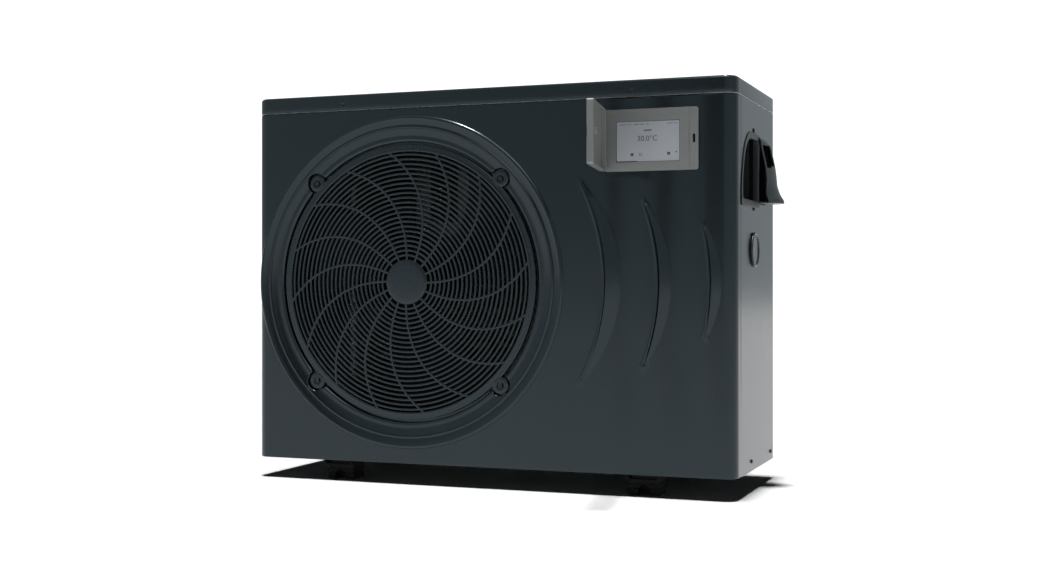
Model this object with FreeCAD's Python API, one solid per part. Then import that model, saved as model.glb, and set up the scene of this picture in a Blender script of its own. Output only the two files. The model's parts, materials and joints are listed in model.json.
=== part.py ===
"""Pool heat pump unit: painted sheet cabinet with a fan section on the left and a sealed refrigeration
section on the right.  +X is right seen from the front, +Y is to the back, +Z is up; millimetres.
The origin is the centre of the four foot bolts, on the floor."""
import FreeCAD, Part
import math
import os

Vec = FreeCAD.Vector
AX_X = Vec(1, 0, 0)
AX_Y = Vec(0, 1, 0)
AX_Z = Vec(0, 0, 1)

# ---------------------------------------------------------------- driving dimensions
WIDTH, DEPTH, BODY_H = 1000.0, 360.0, 738.0
FOOT_H = 40.0                      # floor to the cabinet's lower edge
SHEET = 1.2                        # cabinet sheet
GAP = 0.3                          # assembly gap between neighbouring shells
CORNER_R = 25.0                    # rounded vertical corners at the front
BACK_CORNER_R = 8.0                # and at the back
LIP_H = 33.0                       # turned-down lip of the top cover
LIP_EDGE_R = 6.0
SEAM = 1.0                         # open seams between outer panels
RETURN_Y = 42.0                    # how far the front panel wraps round each corner

FAN_X, FAN_Z = -161.5, 400.0       # fan axis
WELL_R = 279.0                     # well that the grille sits in
SURROUND_R = 329.0                 # outer edge of the stepped surround
SHELF_IN_R = 262.0                 # inner edge of the shelf behind the grille flange
SHELF_DEPTH = 14.0                 # shelf below the front plane

GRILLE_R = 273.0
GRILLE_OPEN_R = 258.5
GRILLE_FACE = 3.0                  # grille face below the front plane
GRILLE_T = 6.0
HUB_DISC_R = 44.5
RING_PITCH, RING_W, RING_COUNT = 9.5, 3.7, 22
FIRST_RING_R = 53.4
SPOKES, SPOKE_W = 16, 3.6
SPOKE_LEAD, SPOKE_CURL = 0.0616, 0.000411    # swirl law, degrees per mm and per mm squared
SPOKE_PHASE = -1.4                           # direction of the first spoke at the hub, degrees
EAR_R, EAR_PITCH_R, EAR_GAP = 17.0, 283.0, 4.0

IMPELLER_R, IMPELLER_HUB_R, BLADES = 246.0, 62.0, 3
SHAFT_R = 6.0

CTRL_X, CTRL_Z = 341.0, 663.5      # centre of the controller
CTRL_W, CTRL_H, CTRL_PROUD = 180.0, 115.0, 6.0
SCREEN_X, SCREEN_Z, SCREEN_W, SCREEN_H = 335.5, 660.5, 122.0, 76.0
COVER_T = 12.0
COVER_OPEN = 80.0                  # opening angle of the flip cover at rest, degrees
PIN_R = 2.0

GAUGE_Y, GAUGE_Z, GAUGE_R = -22.0, 462.0, 33.0

FOOT_X, FOOT_Y = 320.0, 130.0      # half spacings of the feet
FOOT_W, FOOT_D, RUBBER_H = 58.0, 50.0, 30.0
BOLT_R = 4.5

BULKHEAD_X = 150.0
TUBE_R, TUBE_WALL, TUBE_ROWS, ROW_PITCH = 4.8, 0.5, 26, 25.0
COIL_Y, COIL_X, COIL_BEND = 142.0, -467.0, 37.0
COIL_END_X, COIL_END_Y, COIL_Z0 = 130.0, -118.0, 75.0
FIN_DEPTH = 22.0

HX_X, HX_Y, HX_R = 385.0, -60.0, 78.0      # condenser shell
PIPE_R, PIPE_WALL = 25.0, 2.4
UNION_Z = (140.0, 420.0)
SOCKET_R = 25.1
COMP_X, COMP_Y, COMP_R = 243.0, 70.0, 62.0
COMP_FOOT_R = 76.0

# ---------------------------------------------------------------- derived places
FRONT = -DEPTH / 2
BACK = DEPTH / 2
RIGHT = WIDTH / 2
LEFT = -WIDTH / 2
Z0 = FOOT_H
TOP = FOOT_H + BODY_H
PANEL_TOP = TOP - LIP_H - SEAM
PAN_Z = Z0 + 2.0
FLOOR_IN = PAN_Z + SHEET
GRILLE_Y = FRONT + GRILLE_FACE
SHELF_Y = FRONT + SHELF_DEPTH


# ---------------------------------------------------------------- helpers
def box(x0, x1, y0, y1, z0, z1):
    low = Vec(min(x0, x1), min(y0, y1), min(z0, z1))
    return Part.makeBox(abs(x1 - x0), abs(y1 - y0), abs(z1 - z0), low)


def rod(base, axis, radius, length):
    return Part.makeCylinder(radius, length, Vec(*base), axis)


def tube(base, axis, outer, inner, length):
    return rod(base, axis, outer, length).cut(rod(base, axis, inner, length))


def polygon(points):
    pts = [Vec(*p) for p in points]
    return Part.Face(Part.makePolygon(pts + [pts[0]]))


def revolve(profile, centre, axis):
    """Turns (radius, along) points about an axis parallel to Y or X through centre."""
    if axis == AX_Y:
        pts = [(centre[0] + r, a, centre[2]) for r, a in profile]
    elif axis == AX_X:
        pts = [(a, centre[1] + r, centre[2]) for r, a in profile]
    else:
        pts = [(centre[0] + r, centre[1], a) for r, a in profile]
    return polygon(pts).revolve(Vec(*centre), axis, 360)


def fuse(shapes):
    first, rest = shapes[0], list(shapes[1:])
    return first.multiFuse(rest).removeSplitter() if rest else first


def bent_path(points, bend):
    """Straight runs joined by tangent arcs of one radius."""
    pts = [Vec(*p) for p in points]
    edges = []
    here = pts[0]
    for prev, corner, after in zip(pts, pts[1:], pts[2:]):
        into = (corner - prev).normalize()
        out = (after - corner).normalize()
        turn = into.getAngle(out)
        cut = bend * math.tan(turn / 2)
        start = corner - into * cut
        end = corner + out * cut
        side = (out - into).normalize()
        centre = corner + side * (bend / math.cos(turn / 2))
        middle = centre - side * bend
        if (start - here).Length > 1e-6:
            edges.append(Part.makeLine(here, start))
        edges.append(Part.Arc(start, middle, end).toShape())
        here = end
    edges.append(Part.makeLine(here, pts[-1]))
    return Part.Wire(edges)


def sweep(path, radius):
    start = path.OrderedVertexes[0].Point
    direction = path.OrderedEdges[0].tangentAt(path.OrderedEdges[0].FirstParameter)
    if path.OrderedEdges[0].Orientation == "Reversed":
        direction = direction * -1
    ring = Part.Wire(Part.makeCircle(radius, start, direction))
    return path.makePipeShell([ring], True, False)


def hollow_pipe(points, radius, wall, bend):
    path = bent_path(points, bend)
    return sweep(path, radius).cut(sweep(path, radius - wall))


def plan_outline(inset, x0, x1, y0, y1, radius_front, radius_back=BACK_CORNER_R):
    """Closed plan outline at z = 0 with rounded front and back corners."""
    xa, xb, ya, yb = x0 + inset, x1 - inset, y0 + inset, y1 - inset
    rf = max(radius_front - inset, 0.0)
    rb = max(radius_back - inset, 0.0)
    k = 1 - math.sqrt(0.5)
    corners = [(xa, ya, 1, 1, rf), (xb, ya, -1, 1, rf), (xb, yb, -1, -1, rb), (xa, yb, 1, -1, rb)]
    edges = []
    ends = []
    for i, (x, y, sx, sy, r) in enumerate(corners):
        along_x, along_y = Vec(x + sx * r, y, 0), Vec(x, y + sy * r, 0)
        first, last = (along_y, along_x) if i % 2 == 0 else (along_x, along_y)
        ends.append((first, last))
        if r > 0:
            edges.append((i, Part.Arc(first, Vec(x + sx * r * k, y + sy * r * k, 0), last).toShape()))
    wire = []
    arcs = dict(edges)
    for i in range(4):
        if i in arcs:
            wire.append(arcs[i])
        wire.append(Part.makeLine(ends[i][1], ends[(i + 1) % 4][0]))
    return Part.Face(Part.Wire(wire))


def pierced(outer, windows):
    """Flat face bounded by one wire and pierced by many."""
    return Part.makeFace([outer] + windows, "Part::FaceMakerBullseye")


def prism(face, z0, z1):
    solid = face.extrude(Vec(0, 0, z1 - z0))
    solid.translate(Vec(0, 0, z0))
    return solid


def shell_prism(inset, thick, bounds, radius, z0, z1):
    outer = prism(plan_outline(inset, *bounds, radius), z0, z1)
    inner = prism(plan_outline(inset + thick, *bounds, radius), z0 - 1, z1 + 1)
    return outer.cut(inner)


def slot_wires(x0, x1, z0, z1, nx, nz, fill_x, fill_z):
    """Grid of rectangular windows in the XZ plane, as closed wires at y = 0."""
    px, pz = (x1 - x0) / nx, (z1 - z0) / nz
    wires = []
    for i in range(nx):
        for j in range(nz):
            a, b = x0 + px * (i + 0.5), z0 + pz * (j + 0.5)
            w, h = px * fill_x / 2, pz * fill_z / 2
            pts = [Vec(a - w, 0, b - h), Vec(a + w, 0, b - h), Vec(a + w, 0, b + h), Vec(a - w, 0, b + h)]
            wires.append(Part.makePolygon(pts + [pts[0]]))
    return wires


def pan_screw(at, axis, head_r, head_h, shank_r, shank_l):
    """Pan-head screw whose head sits at the given point and whose shank runs along the axis."""
    base = Vec(*at)
    head = Part.makeCone(head_r, head_r * 0.72, head_h, base, axis * -1)
    slot_at = base - axis * (head_h - 0.9)
    recess = Part.makeCylinder(head_r * 0.36, 2.0, slot_at, axis * -1)
    return fuse([head, Part.makeCylinder(shank_r, shank_l, base, axis)]).cut(recess)


def machine_screw(at, axis):
    return pan_screw(at, axis, 5.0, 2.6, 2.0, 16)


def save(name, shapes):
    """Writes one node; each piece in it must be a valid closed solid."""
    solids = []
    for shape in shapes if isinstance(shapes, (list, tuple)) else [shapes]:
        for solid in shape.Solids:
            if not solid.isValid():
                print("INVALID", name)
            solids.append(solid)
    result = solids[0] if len(solids) == 1 else Part.makeCompound(solids)
    result.exportStep(os.path.join("parts", name + ".step"))


# ---------------------------------------------------------------- base, rails and feet
def make_base():
    bounds = (LEFT, RIGHT, FRONT, BACK)
    inset = SHEET + GAP
    tray = prism(plan_outline(inset, *bounds, CORNER_R), PAN_Z, PAN_Z + 24)
    hollow = prism(plan_outline(inset + SHEET, *bounds, CORNER_R), FLOOR_IN, PAN_Z + 30)
    drain = rod((FAN_X, 60, PAN_Z - 1), AX_Z, 8.3, 10)
    holes = [drain]
    for x in (-FOOT_X, FOOT_X):
        for y in (-FOOT_Y, FOOT_Y):
            holes.append(rod((x, y, PAN_Z - 1), AX_Z, BOLT_R, 10))
    for x, y in compressor_feet():
        holes.append(rod((x, y, PAN_Z - 1), AX_Z, 4.2, 10))
    for y, z in SIDE_SCREWS:
        holes.append(rod((RIGHT + 2, y, z), AX_X * -1, 2.1, 10))
    pan = tray.cut(hollow).cut(Part.makeCompound(holes))
    save("base_pan", pan)

    rails = []
    for x in (-FOOT_X, FOOT_X):
        outer = box(x - 30, x + 30, FRONT + 14, BACK - 14, RUBBER_H, PAN_Z)
        channel = box(x - 28, x + 28, FRONT + 13, BACK - 13, RUBBER_H - 1, PAN_Z - 2)
        rail = outer.cut(channel)
        for y in (-FOOT_Y, FOOT_Y):
            rail = rail.cut(rod((x, y, RUBBER_H), AX_Z, BOLT_R, 20))
        rails.append(rail)
    save("base_rails", rails)
    save("rubber_feet", [rubber_foot(x, y) for x in (-FOOT_X, FOOT_X) for y in (-FOOT_Y, FOOT_Y)])

    spigot = rod((FAN_X, 60, PAN_Z - 22), AX_Z, 8, 20)
    stop = rod((FAN_X, 60, PAN_Z - 2), AX_Z, 11, 2)
    neck = rod((FAN_X, 60, PAN_Z), AX_Z, 8.2, SHEET + 2)
    collar = rod((FAN_X, 60, FLOOR_IN), AX_Z, 12, 2)
    bore = rod((FAN_X, 60, PAN_Z - 23), AX_Z, 5.5, 40)
    save("drain_nozzle", fuse([spigot, stop, neck, collar]).cut(bore))


def rubber_foot(x, y):
    """Ribbed foot with two toes; it tucks up inside the rail, and the floor bolt runs through it."""
    w, d = FOOT_W / 2, FOOT_D / 2
    foot = box(x - w, x + w, y - d, y + d, 0, RUBBER_H)
    neck = box(x - w + 4, x + w - 4, y - d + 4, y + d - 4, RUBBER_H, PAN_Z - 2 - GAP)
    foot = fuse([foot, neck])
    cuts = [rod((x, y, -1), AX_Z, BOLT_R, 60)]
    for face in (-1, 1):
        inner, outer = y + face * (d - 14), y + face * (d + 4)
        arch = box(x - 12, x + 12, inner, outer, -1, 7)
        crown = rod((x, min(inner, outer), 7), AX_Y, 12, 18)
        cuts.append(fuse([arch, crown]))
    for z in (12.0, 20.0):
        ring = box(x - w - 1, x + w + 1, y - d - 1, y + d + 1, z, z + 3)
        cuts.append(ring.cut(box(x - w + 2, x + w - 2, y - d + 2, y + d - 2, z - 1, z + 4)))
    return foot.cut(Part.makeCompound(cuts))


def compressor_feet():
    turns = [math.radians(a) for a in (60, 180, 300)]
    return [(COMP_X + COMP_FOOT_R * math.cos(t), COMP_Y + COMP_FOOT_R * math.sin(t)) for t in turns]


# ---------------------------------------------------------------- cabinet panels
def surround_profile(lift=0.0):
    """Outer surface of the stepped surround as (radius, y), from the well edge outwards."""
    steps = [(WELL_R, 6.5), (WELL_R + 2, 4.6), (WELL_R + 4, 3.9), (292, 3.7), (303.5, 0.4), (305, -0.5),
             (307, -0.9), (309, -0.4), (310.5, 1.5), (312.5, 1.6), (320.5, -0.6), (323, -1.9), (325, -2.2),
             (327, -1.7), (SURROUND_R, 0.2)]
    return [(r, FRONT + d + lift) for r, d in steps]


def make_front_panel():
    bounds = (LEFT, RIGHT, FRONT, BACK)
    keep = box(LEFT - 1, RIGHT + 1, FRONT - 1, FRONT + RETURN_Y, 0, TOP)
    skin = shell_prism(0, SHEET, bounds, CORNER_R, Z0, PANEL_TOP).common(keep)
    tuck = shell_prism(SHEET + GAP, SHEET, bounds, CORNER_R, PANEL_TOP - 15, TOP - 12).common(keep)
    ledge = shell_prism(SHEET - 0.1, SHEET, bounds, CORNER_R, PANEL_TOP - 15, PANEL_TOP - 1).common(keep)
    skin = skin.cut(rod((FAN_X, FRONT - 5, FAN_Z), AX_Y, SURROUND_R, 40))

    face = surround_profile()
    back = [(r, y + SHEET) for r, y in face]
    rim = [(SURROUND_R + SHEET, face[-1][1]), (SURROUND_R + SHEET, FRONT + 9), (SURROUND_R, FRONT + 9)]
    wall = [(WELL_R + SHEET, SHELF_Y + SHEET), (SHELF_IN_R, SHELF_Y + SHEET),
            (SHELF_IN_R, SHELF_Y), (WELL_R, SHELF_Y)]
    inner = back[::-1][1:-1] + [(WELL_R + SHEET, FRONT + 7.5)]
    ring = revolve(wall + face + rim + inner, (FAN_X, 0, FAN_Z), AX_Y)
    void = revolve(face + [(SURROUND_R, FRONT - 20), (WELL_R, FRONT - 20)], (FAN_X, 0, FAN_Z), AX_Y)

    pockets, openings, pilots = [], [], []
    for x, z in ear_centres():
        outer = EAR_R + EAR_GAP
        pockets.append(rod((x, FRONT - 4, z), AX_Y, outer + SHEET, SHELF_DEPTH + SHEET + 4))
        openings.append(rod((x, FRONT - 5, z), AX_Y, outer, SHELF_DEPTH + 5))
        pilots.append(rod((x, FRONT, z), AX_Y, 2.1, 30))
    well = rod((FAN_X, FRONT - 5, FAN_Z), AX_Y, WELL_R, SHELF_DEPTH + 5)
    through = rod((FAN_X, FRONT - 5, FAN_Z), AX_Y, SHELF_IN_R, 60)
    body = fuse([skin, tuck, ledge, ring] + pockets).cut(Part.makeCompound([void, well]))
    body = body.cut(fuse(openings + [through])).cut(Part.makeCompound(pilots))

    for crescent in CRESCENTS:
        dent, backing = crescent_tools(*crescent)
        body = body.fuse(backing).cut(dent)
    opening = box(CTRL_X - CTRL_W / 2 + 5, CTRL_X + CTRL_W / 2 - 5, FRONT - 5, FRONT + 5,
                  CTRL_Z - CTRL_H / 2 + 5, CTRL_Z + CTRL_H / 2 - 5)
    body = body.cut(opening)
    screw_holes = [rod((x, FRONT - 2, LID_SCREW_Z), AX_Y, 2.1, 10) for x in LID_SCREW_X]
    body = body.cut(Part.makeCompound(screw_holes))
    save("front_panel", body.removeSplitter())


LID_SCREW_X = (-302.5, 302.5)
LID_SCREW_Z = TOP - 22.0

# Each crescent: x of the tips, x of the sharp left arc and of the soft right arc at mid height, height
# of the middle, half height, and greatest depth.
CRESCENTS = ((194.5, 250.5, 282.0, 401.0, 201.5, 8.5), (321.0, 354.5, 378.5, 398.5, 163.0, 7.5),
             (437.5, 452.0, 473.5, 400.0, 113.5, 6.0))


def arc_through(tip_x, mid_x, half):
    """Centre and radius of the arc whose chord is vertical at tip_x and whose crown is at mid_x."""
    rise = mid_x - tip_x
    radius = (half * half + rise * rise) / (2 * rise)
    return mid_x - radius, radius


def crescent_tools(tip_x, left_x, right_x, mid_z, half, depth):
    """Pressed-in crescent: a step along its left arc, rising to flush along its right arc."""
    left_c, left_r = arc_through(tip_x, left_x, half)
    right_c, right_r = arc_through(tip_x, right_x, half)
    width = right_x - left_x

    def wedge(shift, step_r):
        drop = depth * 1.25
        profile = [(right_r, FRONT + shift), (right_r - 1.25 * width, FRONT + drop + shift),
                   (right_r - 1.25 * width, FRONT - 8), (right_r, FRONT - 8)]
        cone = revolve(profile, (right_c, 0, mid_z), AX_Y)
        inside = box(tip_x, right_x + 5, FRONT - 9, FRONT + 20, mid_z - half, mid_z + half)
        return cone.common(inside).cut(rod((left_c, FRONT - 10, mid_z), AX_Y, step_r, 50))

    dent = wedge(0.0, left_r)
    backing = wedge(SHEET, left_r - SHEET).common(box(LEFT, RIGHT, FRONT + 0.2, FRONT + 30, 0, TOP))
    return dent, backing


def ear_centres():
    turns = [math.radians(a) for a in (45, 135, 225, 315)]
    return [(FAN_X + EAR_PITCH_R * math.cos(t), FAN_Z + EAR_PITCH_R * math.sin(t)) for t in turns]


def make_top_cover():
    outline = (LEFT, RIGHT, FRONT, BACK)
    outer = prism(plan_outline(0, *outline, CORNER_R), TOP - LIP_H, TOP)
    top_edges = [e for e in outer.Edges if all(abs(v.Z - TOP) < 1e-6 for v in e.Vertexes)]
    outer = outer.makeFillet(LIP_EDGE_R, top_edges)
    inner = prism(plan_outline(SHEET, *outline, CORNER_R), TOP - LIP_H - 1, TOP - SHEET)
    in_edges = [e for e in inner.Edges if all(abs(v.Z - (TOP - SHEET)) < 1e-6 for v in e.Vertexes)]
    inner = inner.makeFillet(LIP_EDGE_R - SHEET, in_edges)
    cover = outer.cut(inner)
    holes = [rod((x, FRONT - 2, LID_SCREW_Z), AX_Y, 2.1, 6) for x in LID_SCREW_X]
    holes += [rod((x, BACK + 2, LID_SCREW_Z), AX_Y * -1, 2.1, 6) for x in LID_SCREW_X]
    save("top_cover", cover.cut(Part.makeCompound(holes)))


SIDE_SCREWS = ((-43.0, 58.6), (146.0, 57.0))
POCKET_Y0, POCKET_Y1 = -130.0, 20.0          # hand pocket in the right side, front and rear
POCKET_Z0, POCKET_Z1 = 548.0, 680.0
SLOT_Y, SLOT_Z, SLOT_W, SLOT_L = -23.5, 615.5, 26.0, 158.0


def pocket_outline(grow):
    """Bell outline of the hand pocket in the YZ plane at x = 0: upright low down, arched to a flat top."""
    y0, y1, z0, z1 = POCKET_Y0 - grow, POCKET_Y1 + grow, POCKET_Z0 - grow, POCKET_Z1 + grow
    a, b, c = Vec(0, y0, z0 + 40), Vec(0, y0 + 17, z0 + 91), Vec(0, y0 + 66, z1)
    pts = [c, Vec(0, y1, z1), Vec(0, y1, z0), Vec(0, y0, z0), a]
    return [Part.Arc(a, b, c).toShape()] + [Part.makeLine(p, q) for p, q in zip(pts, pts[1:])]


def bell(grow, x0, x1):
    solid = Part.Face(Part.Wire(Part.__sortEdges__(pocket_outline(grow)))).extrude(Vec(x1 - x0, 0, 0))
    solid.translate(Vec(x0, 0, 0))
    return solid


def side_slot(x0, x1, grow=0.0):
    half, straight = SLOT_W / 2 + grow, SLOT_L / 2 - SLOT_W / 2
    body = box(x0, x1, SLOT_Y - half, SLOT_Y + half, SLOT_Z - straight, SLOT_Z + straight)
    ends = [rod((x0, SLOT_Y, SLOT_Z + s * straight), AX_X, half, x1 - x0) for s in (-1, 1)]
    return fuse([body] + ends)


def make_side_panels():
    bounds = (LEFT, RIGHT, FRONT, BACK)
    full = shell_prism(0, SHEET, bounds, CORNER_R, Z0, PANEL_TOP)
    tuck = shell_prism(SHEET + GAP, SHEET, bounds, CORNER_R, PANEL_TOP - 15, TOP - 12)
    ledge = shell_prism(SHEET - 0.1, SHEET, bounds, CORNER_R, PANEL_TOP - 15, PANEL_TOP - 1)
    y0 = FRONT + RETURN_Y + SEAM
    right_zone = box(RIGHT - 22, RIGHT + 1, y0, BACK + 1, 0, TOP)
    left_zone = box(LEFT - 1, LEFT + 22, y0, BACK + 1, 0, TOP)
    whole = fuse([full, tuck, ledge])

    right = whole.common(right_zone)
    gauge_hole = rod((RIGHT - 10, GAUGE_Y, GAUGE_Z), AX_X, 30.2, 20)
    hood_hole = box(RIGHT - 10, RIGHT + 10, POCKET_Y1 - 1, HOOD_Y1 - 6, POCKET_Z0 + 4, POCKET_Z1 - 2)
    handle_holes = [bell(GAP, RIGHT - 10, RIGHT + 10), side_slot(RIGHT - 10, RIGHT + 10), hood_hole]
    right = right.cut(fuse(handle_holes))
    right = right.cut(gauge_hole)
    for y, z in SIDE_SCREWS:
        right = right.cut(rod((RIGHT + 2, y, z), AX_X * -1, 2.1, 10))
    save("right_side_panel", right)

    left = whole.common(left_zone)
    windows = []
    for wire in slot_wires(y0 + 18, BACK - 26, Z0 + 60, PANEL_TOP - 40, 7, 26, 0.86, 0.62):
        windows.append(Part.Face(wire).extrude(AX_Y * 40))
    grid = Part.makeCompound(windows)
    grid.rotate(Vec(0, 0, 0), AX_Z, 90)
    grid.translate(Vec(LEFT + 20, 0, 0))
    left = left.cut(grid)
    save("left_side_panel", left)


def make_rear():
    z0, z1 = Z0, PANEL_TOP
    x0, x1 = LEFT + 22 + SEAM, BULKHEAD_X + 8
    outline = polygon([(x0, 0, z0), (x1, 0, z0), (x1, 0, z1), (x0, 0, z1)])
    windows = slot_wires(x0 + 14, x1 - 14, z0 + 36, z1 - 26, 10, 40, 0.9, 0.68)
    guard = pierced(outline.OuterWire, windows).extrude(AX_Y * SHEET)
    guard.translate(Vec(0, BACK - SHEET, 0))
    tuck = box(x0, x1, BACK - 2 * SHEET - GAP, BACK - SHEET - GAP, z1 - 15, TOP - 12)
    join = box(x0, x1, BACK - SHEET - GAP, BACK - SHEET, z1 - 15, z1 - 1)
    lid_hole = rod((LID_SCREW_X[0], BACK - 5, LID_SCREW_Z), AX_Y, 2.1, 10)
    save("rear_guard", fuse([guard, join, tuck]).cut(lid_hole))

    a, b = x1 + SEAM, RIGHT - 22 - SEAM
    plate = box(a, b, BACK - SHEET, BACK, z0, z1)
    holes = [rod((HX_X, BACK - 5, z), AX_Y, PIPE_R + 1.5, 10) for z in UNION_Z]
    holes += [rod((x, BACK - 5, z), AX_Y, 10.2, 10) for x, z in GLANDS]
    screws = rear_screws() + [(LID_SCREW_X[1], LID_SCREW_Z)]
    holes += [rod((x, BACK - 5, z), AX_Y, 2.1, 10) for x, z in screws]
    join = box(a, b, BACK - SHEET - GAP, BACK - SHEET, z1 - 15, z1 - 1)
    tuck = box(a, b, BACK - 2 * SHEET - GAP, BACK - SHEET - GAP, z1 - 15, TOP - 12)
    panel = fuse([plate, join, tuck]).cut(Part.makeCompound(holes))
    save("rear_service_panel", panel)

    places = [((x, FRONT, LID_SCREW_Z), AX_Y) for x in LID_SCREW_X]
    places += [((x, BACK, LID_SCREW_Z), AX_Y * -1) for x in LID_SCREW_X]
    places += [((x, BACK, z), AX_Y * -1) for x, z in rear_screws()]
    places += [((RIGHT, y, z), AX_X * -1) for y, z in SIDE_SCREWS]
    save("panel_screws", [pan_screw(at, axis, 4.2, 2.4, 2.0, 8) for at, axis in places])


GLANDS = ((240.0, 560.0), (290.0, 560.0))


def rear_screws():
    return [(x, z) for x in (BULKHEAD_X + 20, RIGHT - 34) for z in (Z0 + 60, Z0 + 350, PANEL_TOP - 40)]


def make_structure():
    wall = box(BULKHEAD_X, BULKHEAD_X + SHEET, FRONT + 20, COIL_Y - 24, FLOOR_IN, TOP - 6)
    foot = box(BULKHEAD_X - 16, BULKHEAD_X + SHEET, FRONT + 20, COIL_Y - 24, FLOOR_IN, FLOOR_IN + SHEET)
    sink = box(BULKHEAD_X - 5, BULKHEAD_X + 5, -58, 58, 612, 712)
    passage = rod((BULKHEAD_X - 5, 0, 520), AX_X, 12, 20)
    save("bulkhead", fuse([wall, foot]).cut(fuse([sink, passage])))

    posts = []
    for sx in (-1, 1):
        x = sx * (RIGHT - SHEET - GAP)
        y = FRONT + RETURN_Y
        a = box(x, x - sx * SHEET, y - 14, y + 16, PAN_Z + 26, PANEL_TOP - 18)
        b = box(x, x - sx * 18, y + 16 - SHEET, y + 16, PAN_Z + 26, PANEL_TOP - 18)
        posts.append(fuse([a, b]))
    posts[1] = posts[1].cut(bell(8, RIGHT - 60, RIGHT))
    save("corner_posts", posts)


# ---------------------------------------------------------------- grille and fan
def spoke_angle(r):
    d = r - HUB_DISC_R
    return math.radians(SPOKE_LEAD * d + SPOKE_CURL * d * d)


def spoke_half_angle(r):
    d = r - HUB_DISC_R
    slope = r * math.radians(SPOKE_LEAD + 2 * SPOKE_CURL * d)
    return SPOKE_W / 2 * math.hypot(1, slope) / r


def grille_cells():
    """Open cells between neighbouring bars and spokes, as closed wires in the XZ plane."""
    edges = [HUB_DISC_R]
    for i in range(RING_COUNT):
        middle = FIRST_RING_R + RING_PITCH * i
        edges += [middle - RING_W / 2, middle + RING_W / 2]
    edges.append(GRILLE_OPEN_R)
    step = 2 * math.pi / SPOKES
    cells = []
    for r_in, r_out in zip(edges[::2], edges[1::2]):
        for k in range(SPOKES):
            base = math.radians(SPOKE_PHASE) + k * step
            wire = []
            ends = []
            for r in (r_in, r_out):
                a = base + spoke_angle(r) + spoke_half_angle(r)
                b = base + spoke_angle(r) + step - spoke_half_angle(r)
                pts = [Vec(FAN_X + r * math.cos(t), 0, FAN_Z + r * math.sin(t)) for t in (a, (a + b) / 2, b)]
                wire.append(Part.Arc(*pts).toShape())
                ends.append((pts[0], pts[2]))
            wire.append(Part.makeLine(ends[0][0], ends[1][0]))
            wire.append(Part.makeLine(ends[0][1], ends[1][1]))
            cells.append(Part.Wire(Part.__sortEdges__(wire)))
    return cells


def make_grille():
    disc = Part.Wire(Part.makeCircle(GRILLE_R, Vec(FAN_X, 0, FAN_Z), AX_Y))
    field = pierced(disc, grille_cells()).extrude(AX_Y * GRILLE_T)
    field.translate(Vec(0, GRILLE_Y, 0))
    ears = [rod((x, GRILLE_Y, z), AX_Y, EAR_R, GRILLE_T) for x, z in ear_centres()]
    keep_out = rod((FAN_X, GRILLE_Y - 1, FAN_Z), AX_Y, GRILLE_R - 4, 40)
    ears = [ear.cut(keep_out) for ear in ears]
    skirt = tube((FAN_X, GRILLE_Y, FAN_Z), AX_Y, GRILLE_R, GRILLE_R - 6, SHELF_DEPTH - GRILLE_FACE - GAP)
    boss_len = SHELF_DEPTH - GRILLE_FACE - GAP - 1
    bosses = [rod((x, GRILLE_Y + 1, z), AX_Y, 7, boss_len) for x, z in ear_centres()]
    body = fuse([field, skirt] + ears + bosses)
    holes = [rod((x, GRILLE_Y - 1, z), AX_Y, 2.6, 30) for x, z in ear_centres()]
    save("fan_grille", body.cut(Part.makeCompound(holes)))

    y0 = SHELF_Y + SHEET + GAP
    profile = [(SHELF_IN_R + 13, y0), (SHELF_IN_R + 13, y0 + 2), (258, y0 + 2), (254, y0 + 8),
               (253, y0 + 16), (253, y0 + 62), (251, y0 + 62), (251, y0 + 14), (252.5, y0 + 6), (257, y0)]
    save("fan_shroud", revolve(profile, (FAN_X, 0, FAN_Z), AX_Y))


BLADE_Y = -112.0          # middle plane of the impeller
MOTOR_Y = -62.0           # front face of the motor
MOTOR_LEN = 70.0


def blade_section(radius, angle, chord, pitch, camber, thick):
    """Thin curved section standing across the radius; its long axis is pitched out of the fan plane."""
    c, s = math.cos(math.radians(pitch)), math.sin(math.radians(pitch))
    pts = []
    for u, v in ((-0.5, 0), (0, camber), (0.5, 0), (0.5, thick), (0, camber + thick), (-0.5, thick)):
        t, a = u * chord * c - v * s, u * chord * s + v * c
        phi = math.radians(angle)
        pts.append(Vec(FAN_X + radius * math.cos(phi) - t * math.sin(phi), BLADE_Y + a,
                       FAN_Z + radius * math.sin(phi) + t * math.cos(phi)))
    edges = [Part.Arc(pts[0], pts[1], pts[2]).toShape(), Part.makeLine(pts[2], pts[3]),
             Part.Arc(pts[3], pts[4], pts[5]).toShape(), Part.makeLine(pts[5], pts[0])]
    return Part.Wire(edges)


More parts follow.
